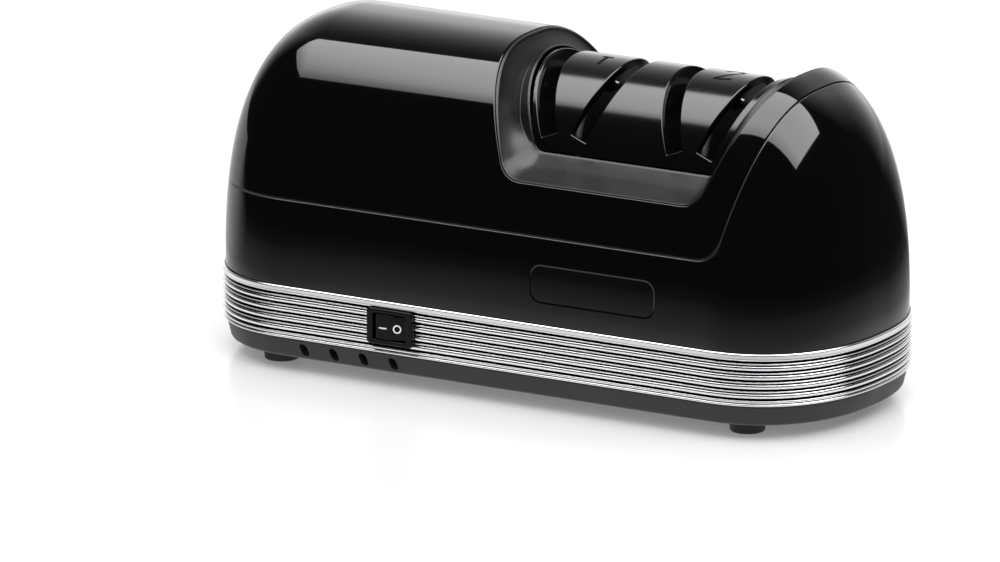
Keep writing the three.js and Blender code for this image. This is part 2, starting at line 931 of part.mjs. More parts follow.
// The rocker's face is a shallow V about its pivot, and it rests with its right half pressed in
function switchRocker() {
  const halfX = switchWidth / 2 - switchRim - switchSkin - rockerClear;
  const halfZ = switchHoleTall / 2 - switchSkin - gap;
  const face = bandFace - switchProud / 2;
  const tilt = THREE.MathUtils.degToRad(rockerTilt);
  const shape = shapeOf([
    [-halfX, face],
    [0, face - halfX * Math.tan(tilt)],
    [halfX, face],
    [halfX, face + rockerDepth / 2],
    [halfX / 2, face + rockerDepth],
    [-halfX / 2, face + rockerDepth],
    [-halfX, face + rockerDepth / 2],
  ]);
  const body = new THREE.ExtrudeGeometry(shape, { depth: 2 * halfZ, bevelEnabled: false });
  const pivot = bandFace + rockerPivotBack;
  body.translate(0, -pivot, switchZ - halfZ).rotateZ(tilt).translate(switchX, pivot, 0);
  return join(body, rockerPinBar(rockerAxle, halfZ + switchSkin / 2 + fitGap));
}

function terminalPlaces() {
  return [switchX - terminalSpread, switchX + terminalSpread];
}

function terminalBlade(x, grow) {
  const back = bandFace + switchDepth;
  return block(
    x - terminalThick / 2 - grow,
    x + terminalThick / 2 + grow,
    back - switchSkin * 2,
    back + terminalLength,
    switchZ - terminalWidth / 2 - grow,
    switchZ + terminalWidth / 2 + grow,
  );
}

function terminalSlots() {
  return terminalPlaces().map((x) => terminalBlade(x, fitGap));
}

// Cord gland

function cordGland() {
  const face = halfWidth + glandProud;
  const seat = halfWidth + gap;
  const end = halfWidth - glandDepth;
  const profile = [
    [glandBore, end],
    [glandHole, end],
    [glandHole, seat],
    [glandFlange, seat],
    [glandFlange, seat + (face - seat) / 2],
    [glandHole, face],
    [glandBore, face],
    [glandBore, end],
  ];
  return lathe(profile, roundSides).translate(glandX, 0, glandZ);
}

// Drive frame

function deckLegPlaces() {
  return screwPlaces().map(([sx, sy]) => [sx * deckLegX, sy * deckLegY]);
}

function ribPlate(x, thick, halfLow, halfHigh, top) {
  const low = deckBottom + deckThick / 2;
  const points = [[-halfLow, low], [halfLow, low], [halfHigh, top], [-halfHigh, top]];
  return prismX(points, x - thick / 2, x + thick / 2);
}

function driveFrame() {
  const deck = block(deckLeft, deckRight, -deckHalf, deckHalf, deckBottom, deckBottom + deckThick);
  const saddleTop = driveZ - coreRadius + saddleRise;
  const saddleOut = coreLength / 2 - saddleThick / 2;
  const saddles = [-1, 1].map((side) =>
    ribPlate(motorX + side * saddleOut, saddleThick, deckHalf, saddleHalf, saddleTop));
  const pedestals = [leftPedestalX, rightPedestalX].map((x) => {
    const plate = ribPlate(x, pedestalThick, pedestalHalf, pedestalHead, driveZ);
    return join(plate, barX(pedestalHead, x - pedestalThick / 2, x + pedestalThick / 2));
  });
  const bores = [leftPedestalX, rightPedestalX].map((x) =>
    barX(bearingRadius + fitGap, x - pedestalThick, x + pedestalThick));
  const seat = barX(coreRadius + fitGap, motorX - coreLength, motorX + coreLength, wheelSides);
  const whole = join(deck, ...saddles, ...pedestals);
  const studTop = deckBottom + deckThick + boardLift - fitGap;
  const studs = boardStudPlaces().map(([x, y]) =>
    barZ(boardStud, deckBottom + deckThick / 2, studTop, x, y, cutSides));
  return cut(join(whole, ...studs), seat, ...bores);
}

// Motor

function circleShape(radius, sides) {
  return Array.from({ length: sides }, (_, i) => {
    const angle = (2 * Math.PI * i) / sides;
    return [radius * Math.cos(angle), driveZ + radius * Math.sin(angle)];
  });
}

function coreLengthX() {
  return [motorX - coreLength / 2, motorX + coreLength / 2];
}

function statorCore() {
  const [x0, x1] = coreLengthX();
  const ring = prismX(circleShape(coreRadius, wheelSides), x0, x1);
  const bore = prismX(circleShape(coreBore, roundSides), x0 - cutOver, x1 + cutOver);
  const windows = screwPlaces().map(([sy, sz]) =>
    block(
      x0 - cutOver,
      x1 + cutOver,
      Math.min(sy * windowNear, sy * windowFar),
      Math.max(sy * windowNear, sy * windowFar),
      driveZ + Math.min(sz * windowLow, sz * windowHigh),
      driveZ + Math.max(sz * windowLow, sz * windowHigh),
    ));
  return cut(ring, bore, ...windows, ...tieRodHoles());
}

function tieRodPlaces() {
  return [-1, 1].map((side) => [side * tieRodSpread, driveZ]);
}

function rodX(radius, x0, x1, y, z) {
  const bar = lathe([[0, x0], [radius, x0], [radius, x1], [0, x1]], cutSides);
  return bar.rotateZ(-quarter).translate(0, y, z);
}

function tieRodHoles() {
  return tieRodPlaces().map(([y, z]) => rodX(tieRodRadius + fitGap, -bodyLength, bodyLength, y, z));
}

function tieRod(y, z) {
  const reach = endFrameOffset + endFrameThick;
  const shank = rodX(tieRodRadius, motorX - reach - tieRodRadius, motorX + reach + tieRodRadius, y, z);
  const heads = [-1, 1].map((side) => {
    const near = motorX + side * (reach + gap);
    const far = near + side * tieRodRadius;
    return rodX(tieRodRadius * 2, Math.min(near, far), Math.max(near, far), y, z);
  });
  return join(shank, ...heads);
}

// A field coil is one rounded loop that lies round a pole, seen from above
function fieldCoil(side) {
  const halfX = coreLength / 2 + coilOverhang;
  const farY = windowFar - gap;
  const outer = roundedBox(halfX, farY, coilWidth, motorX, 0);
  const inner = roundedBox(halfX - coilWidth, windowNear + gap, coilWidth / 2, motorX, 0);
  outer.holes.push(inner);
  const depth = windowHigh - windowLow - 2 * gap;
  const settings = { depth, bevelEnabled: false, curveSegments: coilSteps };
  const low = side > 0 ? driveZ + windowLow + gap : driveZ - windowHigh + gap;
  return new THREE.ExtrudeGeometry(outer, settings).translate(0, 0, low);
}

// The left hub stands outside the commutator, and the right one reaches in between the coils
function hubSpan(side) {
  const near = motorX + side * endFrameOffset;
  const far = motorX + side * (endFrameOffset + endFrameThick);
  return side > 0 ? [far - bearingLength, far] : [near - bearingLength, near];
}

function endFrame(side) {
  const near = motorX + side * endFrameOffset;
  const far = near + side * endFrameThick;
  const [x0, x1] = [Math.min(near, far), Math.max(near, far)];
  const plate = prismX(circleShape(endFrameRadius, wheelSides), x0, x1);
  const hub = barX(bearingRadius + bearingBulge * 2, ...hubSpan(side));
  const bore = barX(bearingRadius + fitGap, x0 - bearingLength, x1 + bearingLength);
  const windows = [-1, 1].map((up) => {
    const z = driveZ + up * (bearingRadius + endWindow);
    return rodX(endWindow / 3, x0 - bearingLength, x1 + bearingLength, 0, z);
  });
  const arms = [-1, 1].map((up) => endFrameArm(side, up));
  return cut(join(plate, hub, ...arms), bore, ...windows, ...tieRodHoles());
}

// An arm that reaches from the end frame to the stator's face
function endFrameArm(side, up) {
  const start = motorX + side * (coreLength / 2 + gap);
  const end = motorX + side * (endFrameOffset + endFrameThick / 2);
  const y = up * (endFrameRadius - endFrameThick);
  const half = endFrameThick / 3;
  const low = driveZ + holderHeight;
  return block(Math.min(start, end), Math.max(start, end), y - half, y + half, low, low + endFrameThick);
}

function bearingBush(x) {
  const half = pedestalThick / 2;
  return sleeveX(bearingRadius, spindleRadius + fitGap, x - half, x + half);
}

function motorBearing(side) {
  return sleeveX(bearingRadius, shaftRadius + fitGap, ...hubSpan(side));
}

function brushHolder(side) {
  const x = motorX - endFrameOffset + holderWidth / 2 + gap;
  const near = side * holderStart;
  const far = side * (holderStart + holderLength);
  const halfX = holderWidth / 2;
  const halfZ = holderHeight / 2;
  const [y0, y1] = [Math.min(near, far), Math.max(near, far)];
  const tube = block(x - halfX, x + halfX, y0, y1, driveZ - halfZ, driveZ + halfZ);
  const channel = block(
    x - brushWidth / 2 - gap,
    x + brushWidth / 2 + gap,
    -bodyWidth,
    bodyWidth,
    driveZ - brushHeight / 2 - gap,
    driveZ + brushHeight / 2 + gap,
  );
  return cut(tube, channel);
}

function carbonBrush(side) {
  const x = motorX - endFrameOffset + holderWidth / 2 + gap;
  const tip = side * (commutatorRadius + gap);
  const end = side * (commutatorRadius + gap + brushLength);
  return block(
    x - brushWidth / 2,
    x + brushWidth / 2,
    Math.min(tip, end),
    Math.max(tip, end),
    driveZ - brushHeight / 2,
    driveZ + brushHeight / 2,
  );
}

// Rotor

function toothedShape(radius, teeth, depth, slotShare) {
  const points = [];
  for (let i = 0; i < teeth; i += 1) {
    const start = (2 * Math.PI * i) / teeth;
    const tooth = ((2 * Math.PI) / teeth) * (1 - slotShare);
    for (const share of [0, 1 / 2, 1]) {
      const angle = start + tooth * share;
      points.push([radius * Math.cos(angle), driveZ + radius * Math.sin(angle)]);
    }
    for (const share of [1, 0]) {
      const angle = start + tooth + (1 - share) * (2 * Math.PI / teeth) * slotShare;
      points.push([(radius - depth) * Math.cos(angle), driveZ + (radius - depth) * Math.sin(angle)]);
    }
  }
  return points;
}

function onShaft(geometry) {
  return cut(geometry, barX(shaftRadius + fitGap, -bodyLength, bodyLength));
}

function armatureCore() {
  const [x0, x1] = coreLengthX();
  return onShaft(prismX(toothedShape(rotorRadius, rotorTeeth, rotorSlotDepth, rotorSlotShare), x0, x1));
}

function armatureWinding(side) {
  const [x0, x1] = coreLengthX();
  const near = side > 0 ? x1 + fitGap : x0 - fitGap;
  const profile = [
    [shaftRadius + fitGap, near],
    [windingRadius, near],
    [windingRadius, near + (side * windingLength) / 2],
    [windingNeck, near + side * windingLength],
    [shaftRadius + fitGap, near + side * windingLength],
    [shaftRadius + fitGap, near],
  ];
  const shape = side > 0 ? profile : profile.reverse();
  return turnedX(shape);
}

function commutator() {
  const x1 = motorX - coreLength / 2 - windingLength - 2 * gap;
  const shape = toothedShape(commutatorRadius, commutatorBars, commutatorGroove, rotorSlotShare / 2);
  return onShaft(prismX(shape, x1 - commutatorLength, x1));
}

function coolingFan() {
  const hub = barX(fanHub, fanX, fanX + fanWidth);
  const disc = barX(fanRadius, fanX, fanX + fanDisc, wheelSides);
  const blades = Array.from({ length: fanBlades }, (_, i) => {
    const blade = block(
      fanX + fanDisc / 2,
      fanX + fanWidth,
      -fanBladeThick / 2,
      fanBladeThick / 2,
      fanHub / 2,
      fanRadius - fanBladeThick,
    );
    return blade.rotateX((2 * Math.PI * i) / fanBlades).translate(0, 0, driveZ);
  });
  return onShaft(join(hub, disc, ...blades));
}

function shaftCoupling() {
  const outer = barX(couplingRadius, couplingLeft, couplingRight);
  const middle = (motorShaftRight + spindleLeft) / 2;
  const left = barX(shaftRadius + fitGap, couplingLeft - cutOver, middle + gap);
  const right = barX(spindleRadius + fitGap, middle, couplingRight + cutOver);
  return cut(outer, left, right);
}

// Grinding wheels: a plate with a bevelled rim, and a hub that slides on the spindle
function grindingWheel(centre, side) {
  const at = (offset) => centre + side * offset;
  const inner = wheelFace - wheelPlate;
  const bore = spindleRadius + fitGap;
  const profile = [
    [bore, at(inner + wheelPocketDepth)],
    [wheelPocket, at(inner + wheelPocketDepth)],
    [wheelPocket, at(inner)],
    [wheelRadius, at(inner)],
    [wheelRadius, at(wheelFace - wheelBevelDepth)],
    [wheelBevelRadius, at(wheelFace)],
    [wheelHub, at(wheelFace)],
    [wheelHub, at(wheelFace + wheelHubLength)],
    [bore, at(wheelFace + wheelHubLength)],
    [bore, at(inner + wheelPocketDepth)],
  ];
  return turnedX(side > 0 ? profile : profile.reverse(), wheelSides);
}

function retainingClip(centre, side) {
  const near = centre + side * (wheelFace + wheelHubLength + gap);
  const far = near + side * clipThick;
  const clip = sleeveX(clipRadius, spindleRadius + fitGap, Math.min(near, far), Math.max(near, far));
  const opening = block(-bodyLength, bodyLength, -clipThick, clipThick, driveZ - 2 * clipRadius, driveZ);
  return cut(clip, opening);
}

class CoilCurve extends THREE.Curve {
  constructor(centre, halfSpan) {
    super();
    this.centre = centre;
    this.halfSpan = halfSpan;
  }

  getPoint(share, target = new THREE.Vector3()) {
    const angle = 2 * Math.PI * springTurns * share;
    const x = this.centre + this.halfSpan * (2 * share - 1);
    return target.set(x, springRadius * Math.cos(angle), driveZ + springRadius * Math.sin(angle));
  }
}

function wheelSpring(centre) {
  const halfSpan = wheelFace - wheelPlate + wheelPocketDepth - springWire - gap;
  const ring = [];
  for (let i = 0; i < springSides; i += 1) {
    const angle = (2 * Math.PI * i) / springSides;
    ring.push(new THREE.Vector2(springWire * Math.cos(angle), springWire * Math.sin(angle)));
  }
  const settings = {
    steps: springTurns * springSteps,
    bevelEnabled: false,
    extrudePath: new CoilCurve(centre, halfSpan),
  };
  return new THREE.ExtrudeGeometry(new THREE.Shape(ring), settings);
}

// Circuit board with the suppression capacitor

function boardStudPlaces() {
  return screwPlaces().map(([sx, sy]) => [
    boardX + sx * (boardLength / 2 - boardStud * 2),
    sy * (boardHalf - boardStud * 2),
  ]);
}

const boardLow = deckBottom + deckThick + boardLift;

function circuitBoard() {
  const half = boardLength / 2;
  return block(boardX - half, boardX + half, -boardHalf, boardHalf, boardLow, boardLow + boardThick);
}

function capacitor() {
  const low = boardLow + boardThick + fitGap;
  const high = low + capacitorLength;
  return barZ(capacitorRadius, low, high, boardX, 0);
}

// The finished object

const glossBlack = 0x0b0b0d;
const satinBlack = 0x1b1b1d;
const graphite = 0x2c2d30;
const chrome = 0xc9cbce;
const steel = 0x9a9c9f;
const copper = 0xb5703a;
const brass = 0xb79a55;
const rubber = 0x151515;
const board = 0x2f6b45;
const carbon = 0x33322f;
const corners = [
  ['front_left', -1, -1],
  ['front_right', 1, -1],
  ['rear_left', -1, 1],
  ['rear_right', 1, 1],
];
const sides = [['left', -1], ['right', 1]];
const stages = [['coarse', stageCentres()[0]], ['fine', stageCentres()[1]]];

place(upperCover(), 'upper_cover', glossBlack, 0.12, 0);
place(lowerHousing(), 'lower_housing', glossBlack, 0.12, 0);
place(slotFrame(), 'slot_frame', graphite, 0.4, 0);
place(slotBarrel(), 'slot_barrel', satinBlack, 0.35, 0);
place(trimBand(), 'trim_band', chrome, 0.15, 1);
place(baseTray(), 'base_tray', satinBlack, 0.6, 0);
place(switchFrame(), 'switch_frame', satinBlack, 0.4, 0);
place(switchRocker(), 'switch_rocker', satinBlack, 0.35, 0);
place(cordGland(), 'cord_gland', rubber, 0.7, 0);
place(driveFrame(), 'drive_frame', steel, 0.5, 0);
place(statorCore(), 'stator_core', steel, 0.5, 0.8);
place(armatureCore(), 'armature_core', steel, 0.45, 0.8);
place(commutator(), 'commutator', copper, 0.3, 1);
place(coolingFan(), 'cooling_fan', graphite, 0.5, 0);
place(shaftCoupling(), 'shaft_coupling', brass, 0.4, 0.8);
place(barX(shaftRadius, motorShaftLeft, motorShaftRight), 'motor_shaft', steel, 0.25, 1);
place(barX(spindleRadius, spindleLeft, spindleRight), 'grinding_spindle', steel, 0.25, 1);
place(circuitBoard(), 'circuit_board', board, 0.5, 0);
place(capacitor(), 'capacitor', graphite, 0.4, 0);

for (const [name, sx, sy] of corners) {
  place(rubberFoot(sx * footX, sy * footY), `foot_${name}`, rubber, 0.8, 0);
  place(baseScrew(sx * screwX, sy * screwY), `base_screw_${name}`, steel, 0.35, 1);
}

for (const [name, side] of sides) {
  place(endFrame(side), `motor_end_frame_${name}`, steel, 0.5, 0.7);
  place(motorBearing(side), `motor_bearing_${name}`, brass, 0.4, 0.9);
  place(armatureWinding(side), `armature_winding_${name}`, copper, 0.5, 0.4);
}

for (const [name, side] of [['lower', -1], ['upper', 1]]) {
  place(fieldCoil(side), `field_coil_${name}`, copper, 0.5, 0.4);
}

for (const [name, side] of [['front', -1], ['rear', 1]]) {
  place(brushHolder(side), `brush_holder_${name}`, brass, 0.4, 0.9);
  place(carbonBrush(side), `carbon_brush_${name}`, carbon, 0.8, 0);
  place(tieRod(...tieRodPlaces()[side > 0 ? 1 : 0]), `motor_screw_${name}`, steel, 0.35, 1);
}

place(bearingBush(leftPedestalX), 'spindle_bearing_left', brass, 0.4, 0.9);
place(bearingBush(rightPedestalX), 'spindle_bearing_right', brass, 0.4, 0.9);

for (const [name, centre] of stages) {
  for (const [sideName, side] of sides) {
    place(grindingWheel(centre, side), `${name}_wheel_${sideName}`, steel, 0.35, 0.9);
    place(retainingClip(centre, side), `${name}_clip_${sideName}`, steel, 0.3, 1);
  }
  place(wheelSpring(centre), `${name}_wheel_spring`, steel, 0.3, 1);
}

slotSlices.forEach((slice, index) => {
  const magnet = magnetBar(slice, magnetRadius, -magnetProud, magnetProud + magnetLength);
  place(magnet, `guide_magnet_${index + 1}`, chrome, 0.2, 1);
});

terminalPlaces().forEach((x, index) => {
  place(terminalBlade(x, 0), `switch_terminal_${index + 1}`, brass, 0.3, 1);
});

export default group;
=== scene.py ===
import math

import bpy
import numpy as np
from mathutils import Matrix, Vector


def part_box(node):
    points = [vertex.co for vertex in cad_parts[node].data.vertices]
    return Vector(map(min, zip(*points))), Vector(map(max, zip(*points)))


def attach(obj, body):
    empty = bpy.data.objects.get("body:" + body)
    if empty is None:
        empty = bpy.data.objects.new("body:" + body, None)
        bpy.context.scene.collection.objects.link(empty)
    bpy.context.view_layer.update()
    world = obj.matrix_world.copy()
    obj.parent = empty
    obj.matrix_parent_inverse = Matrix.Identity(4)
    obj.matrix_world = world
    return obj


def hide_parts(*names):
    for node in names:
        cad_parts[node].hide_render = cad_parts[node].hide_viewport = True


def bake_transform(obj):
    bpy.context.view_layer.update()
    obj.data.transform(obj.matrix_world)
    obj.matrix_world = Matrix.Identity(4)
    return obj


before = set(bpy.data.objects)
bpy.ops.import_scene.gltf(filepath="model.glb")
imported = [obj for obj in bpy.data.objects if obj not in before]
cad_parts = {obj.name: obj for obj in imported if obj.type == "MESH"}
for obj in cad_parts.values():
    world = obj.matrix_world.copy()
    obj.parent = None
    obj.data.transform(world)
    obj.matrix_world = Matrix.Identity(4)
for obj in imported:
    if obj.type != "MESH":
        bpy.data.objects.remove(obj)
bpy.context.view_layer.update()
millimetre = 0.001
quarter = math.pi / 2


def boxOf(node):  # lowest and highest corner of a frame node, in millimetres
    low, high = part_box(node)
    return np.array(low) / millimetre, np.array(high) / millimetre


def middleOf(node):
    low, high = boxOf(node)
    return (low + high) / 2


bandLow, bandHigh = boxOf("trim_band")
body = {
    "halfLength": bandHigh[0], "halfWidth": bandHigh[1], "top": boxOf("upper_cover")[1][2],
    "bandLow": bandLow[2], "bandTop": bandHigh[2],
    "endRound": 35.4,  # length of each rounded end
    "planPower": 2.28,  # roundness of the plan outline
    "archPower": 2.65,  # roundness of the section
    "shellInset": 0.8,  # step from the band in to the shell
    "gap": 0.3,
}
straightHalf = body["halfLength"] - body["endRound"]


# Working on meshes of plain arrays

mergeWithin = 1e-4  # corners nearer than this are one corner
snapWithin = 0.004  # a corner nearer than this to a dividing line lies on it
sideParts = 2.1  # a fillet takes less than half of a side
farOut = -9  # a distance well outside any outline
def gridFaces(rows, columns, closeRows=False, closeColumns=False):
    # Two triangles for each cell of a grid of corners kept row by row
    i, j = np.meshgrid(
        np.arange(rows if closeRows else rows - 1),
        np.arange(columns if closeColumns else columns - 1),
        indexing="ij",
    )
    nextRow, nextColumn = (i + 1) % rows, (j + 1) % columns
    a, b = i * columns + j, i * columns + nextColumn
    c, d = nextRow * columns + nextColumn, nextRow * columns + j
    return np.concatenate([np.stack([a, b, c], -1), np.stack([a, c, d], -1)]).reshape(-1, 3)


def unit(vectors):
    size = np.linalg.norm(vectors, axis=-1, keepdims=True)
    return vectors / np.where(size > 1e-12, size, 1)


def ease(share):
    # A soft step: three times the square less twice the cube
    return share**2 * (3 - 2 * share)


def faceCross(points, faces):
    # The normal of each face, as long as twice its area
    a, b, c = points[faces[:, 0]], points[faces[:, 1]], points[faces[:, 2]]
    return np.cross(b - a, c - a)


def turnOutwards(points, faces, normals):
    # Turns a face over when it disagrees with the normals at its corners
    agree = (faceCross(points, faces) * normals[faces].sum(1)).sum(1) >= 0
    return np.where(agree[:, None], faces, faces[:, ::-1])


def turnTowards(normals, guide):
    # Turns a normal over when it disagrees with its guide
    return normals * np.where((normals * guide).sum(1, keepdims=True) < 0, -1, 1)


def sameCorners(points):
    # The first corner at each place, and for every corner the number of its place
    keys = np.round(points / mergeWithin).astype(np.int64)
    _, first, same = np.unique(keys, axis=0, return_index=True, return_inverse=True)
    return first, same.reshape(-1)


def threeCornered(faces):
    return (faces != np.roll(faces, 1, 1)).all(1)


def weld(points, faces):
    # Corners at one place become one, and faces with no area go
    first, same = sameCorners(points)
    faces = same[faces]
    return points[first], faces[threeCornered(faces)]


def compact(points, faces):
    used, inverse = np.unique(faces, return_inverse=True)
    return points[used], inverse.reshape(-1, 3)


def splitAlong(points, faces, value):
    # New corners where the zero line of a value crosses an edge, and both sides stay
    high = value > 0
    count = high[faces].sum(1)
    crossed = faces[(count == 1) | (count == 2)]
    rest = faces[(count == 0) | (count == 3)]
    if len(crossed) == 0:
        return points, faces
    sides = high[crossed]
    lone = np.where(sides.sum(1) == 1, sides.argmax(1), sides.argmin(1))
    order = (lone[:, None] + np.arange(3)) % 3
    a, b, c = np.take_along_axis(crossed, order, 1).T
    pairs = np.concatenate([np.stack([a, b], 1), np.stack([a, c], 1)])
    pairs.sort(axis=1)
    edges, inverse = np.unique(pairs, axis=0, return_inverse=True)
    inverse = inverse.reshape(-1) + len(points)
    start, end = edges.T
    share = (value[start] / (value[start] - value[end]))[:, None]
    crossing = points[start] + share * (points[end] - points[start])
    ab, ac = inverse[: len(a)], inverse[len(a) :]
    made = np.concatenate([
        np.stack([a, ab, ac], 1),
        np.stack([ab, b, c], 1),
        np.stack([ab, c, ac], 1),
    ])
    return np.concatenate([points, crossing]), np.concatenate([rest, made])


def splitLevels(points, faces, distanceOf, levels, settle):
    # Splits the surface along several lines of equal distance
    for level in levels:
        value = distanceOf(points) - level
        value[np.abs(value) < snapWithin] = 0
        points, faces = splitAlong(points, faces, value)
        points, faces = weld(settle(points), faces)
    return points, faces


def slopeOf(points, distanceOf):
    # How a distance in the x-z plane grows along x and along z
    step = 0.01
    alongX = distanceOf(points + [step, 0, 0]) - distanceOf(points - [step, 0, 0])
    alongZ = distanceOf(points + [0, 0, step]) - distanceOf(points - [0, 0, step])
    return unit(np.stack([alongX, np.zeros(len(points)), alongZ], 1))


edgeTurns = 1 - np.sin(np.radians([72, 54, 36, 18, 0]))  # where a rounded edge gets its corners


def roundEdge(points, normals, distanceOf, radius):
    # A quarter round along the edge: the sine of its tilt is the share of the radius not reached
    away = -slopeOf(points, distanceOf)
    away = unit(away - normals * (away * normals).sum(1, keepdims=True))
    sine = np.clip(1 - distanceOf(points) / radius, 0, 1)[:, None]
    cosine = np.sqrt(1 - sine**2)
    return points - normals * radius * (1 - cosine), normals * cosine + away * sine


def outlineDistance(outline):
    # Distance in the x-z plane to a closed outline, positive inside it
    start = np.asarray(outline, float)
    span = np.roll(start, -1, axis=0) - start
    length = (span**2).sum(1)

    def distance(points):
        flat = points[:, [0, 2]]
        offset = flat[:, None, :] - start[None]
        share = np.clip((offset * span).sum(2) / length, 0, 1)
        nearest = np.sqrt(((offset - share[..., None] * span) ** 2).sum(2)).min(1)
        above = (offset[:, :, 1] < 0) != (offset[:, :, 1] - span[:, 1] < 0)
        safe = np.where(span[:, 1] == 0, 1, span[:, 1])
        crossing = above & (offset[:, :, 0] < offset[:, :, 1] / safe * span[:, 0])
        return np.where(crossing.sum(1) % 2 == 1, nearest, -nearest)

    return distance


def bend(start, corner, end, steps=16):
    # A quadratic curve from a start past its corner to an end
    share = np.linspace(0, 1, steps + 1)[:, None]
    start, corner, end = map(np.array, (start, corner, end))
    return (1 - share) ** 2 * start + 2 * share * (1 - share) * corner + share**2 * end


def fillet(profile, radius, steps=5):
    # An open line of [a, b] points with each inner corner rounded
    profile = np.asarray(profile, float)
    parts = [profile[:1]]
    for before, here, after in zip(profile, profile[1:], profile[2:]):
        back, ahead = before - here, after - here
        reach = min(radius, np.linalg.norm(back) / sideParts, np.linalg.norm(ahead) / sideParts)
        parts.append(bend(here + unit(back) * reach, here, here + unit(ahead) * reach, steps))
    return np.concatenate([*parts, profile[-1:]])


def boundary(faces):
    # The edges that only one face has, in that face's order
    edges = np.concatenate([faces[:, [0, 1]], faces[:, [1, 2]], faces[:, [2, 0]]])
    _, inverse, count = np.unique(np.sort(edges, 1), axis=0, return_inverse=True, return_counts=True)
    return edges[count[inverse.reshape(-1)] == 1]


def walled(points, faces, normals, inner, innerNormals):
    # A closed wall: the outer skin, the inner skin turned over, and a strip round every edge
    count = len(points)
    start, end = boundary(faces).T
    strip = np.concatenate([
        np.stack([end, start, start + count], 1),
        np.stack([end, start + count, end + count], 1),
    ])
    whole = np.concatenate([points, inner])
    stripNormals = np.repeat(unit(faceCross(whole, strip))[:, None], 3, axis=1)
    inside = faces[:, ::-1]
    corners = np.concatenate([normals[faces], stripNormals, -innerNormals[inside]])
    return whole, np.concatenate([faces, strip, inside + count]), corners


def gridNormals(grid, closeRows=False):
    # Cross product of the steps from row to row and round each closed row, over both neighbours
    onward = np.roll(grid, -1, 0) - np.roll(grid, 1, 0) if closeRows else np.gradient(grid, axis=0)
    return unit(np.cross(onward, np.roll(grid, -1, 1) - np.roll(grid, 1, 1)))


def signedVolume(points, faces):
    # Six times the volume that faces enclose, positive when they face outwards
    a, b, c = points[faces[:, 0]], points[faces[:, 1]], points[faces[:, 2]]
    return (a * np.cross(b, c)).sum()


def closedForm(grid, closeRows=False, capEnds=False):
    # A skin through closed rows of corners, with smooth corner normals that face outwards
    rows, columns = grid.shape[:2]
    normals = gridNormals(grid, closeRows).reshape(-1, 3)
    points = grid.reshape(-1, 3)
    faces = gridFaces(rows, columns, closeRows, True)
    skin = len(faces)
    if capEnds:
        here = np.arange(columns)
        ahead = np.roll(here, -1)
        last = (rows - 1) * columns
        first = np.stack([ahead, here, np.full(columns, len(points))], 1)
        final = np.stack([last + here, last + ahead, np.full(columns, len(points) + 1)], 1)
        points = np.concatenate([points, grid[[0, -1]].mean(1)])
        normals = np.concatenate([normals, np.zeros((2, 3))])
        faces = np.concatenate([faces, first, final])
    if signedVolume(points - points.mean(0), faces) < 0:
        faces = faces[:, ::-1]
    facing = unit(faceCross(points, faces))[:, None]
    corners = normals[faces]
    corners = np.where((corners * facing).sum(2, keepdims=True) < 0, -corners, corners)
    lost = np.linalg.norm(corners, axis=2, keepdims=True) < 0.5  # a corner with no normal is flat
    lost[skin:] = True
    return points, faces, np.where(lost, facing, corners)


def joined(pieces):
    # Several forms as one set of corners, faces and corner normals
    points, faces, corners = zip(*pieces)
    offsets = np.cumsum([0, *map(len, points[:-1])])
    faces = [part + offset for part, offset in zip(faces, offsets)]
    return np.concatenate(points), np.concatenate(faces), np.concatenate(corners)


def linkObject(name, data):
    thing = bpy.data.objects.new(name, data)
    bpy.context.scene.collection.objects.link(thing)
    return thing


def makePiece(name, form, finishName, nodes=(), bodyName="housing", recess=None):
    points, faces, corners = form
    first, same = sameCorners(points)
    points, faces = points[first], same[faces]
    whole = threeCornered(faces)
    faces, corners = faces[whole], corners[whole]
    mesh = bpy.data.meshes.new(name)
    mesh.vertices.add(len(points))
    mesh.vertices.foreach_set("co", (points * millimetre).astype(np.float32).ravel())
    mesh.loops.add(faces.size)
    mesh.loops.foreach_set("vertex_index", faces.astype(np.int32).ravel())
    mesh.polygons.add(len(faces))
    mesh.polygons.foreach_set("loop_start", np.arange(0, faces.size, 3, dtype=np.int32))
    mesh.polygons.foreach_set("use_smooth", np.ones(len(faces), bool))
    mesh.update(calc_edges=True)
    mesh.normals_split_custom_set(unit(corners).reshape(-1, 3).tolist())
    mesh.materials.append(finish[finishName])
    # the guide for painted shade or a painted highlight, kept as a point attribute
    if recess is not None:
        levels = mesh.attributes.new("recess", "FLOAT", "POINT").data
        levels.foreach_set("value", recess[first].astype(np.float32))
    piece = linkObject(name, mesh)
    if isinstance(bodyName, str):
        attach(piece, bodyName)
    else:  # it stretches between two bodies
        low, high = points.min(0) * millimetre, points.max(0) * millimetre
        middle = (low + high) / 2
        start, end = (low[0], *middle[1:]), (high[0], *middle[1:])
        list(bodyName)
        tuple(map(float, start))
        tuple(map(float, end))
        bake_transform(piece)
    if nodes:
        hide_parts(*nodes)


# Shader nodes: each input gets a value, or the socket that feeds it


def feed(tree, node, inputs):
    for name, value in dict(inputs).items():
        if isinstance(value, bpy.types.NodeSocket):
            tree.links.new(value, node.inputs[name])
        else:
            node.inputs[name].default_value = value


def addNode(tree, kind, inputs=(), **settings):
    node = tree.nodes.new("ShaderNode" + kind)
    for name, value in settings.items():
        setattr(node, name, value)
    feed(tree, node, inputs)
    return node


def mathNode(tree, operation, *values):
    return addNode(tree, "Math", enumerate(values), operation=operation).outputs[0]


def rampNode(tree, value, low, high, atLow=0, atHigh=1, kind="LINEAR"):
    inputs = {"Value": value, "From Min": low, "From Max": high, "To Min": atLow, "To Max": atHigh}
    return addNode(tree, "MapRange", inputs, interpolation_type=kind).outputs[0]


def mixNode(tree, factor, first, second):
    inputs = {"Factor": factor, "A": first, "B": second}
    return addNode(tree, "Mix", inputs, data_type="RGBA").outputs["Result"]


# Finishes: each has its own grain, and its roughness wanders a little between two values

wander = {"from": 0.3, "to": 0.7, "cloudDetail": 4, "grainDetail": 3}


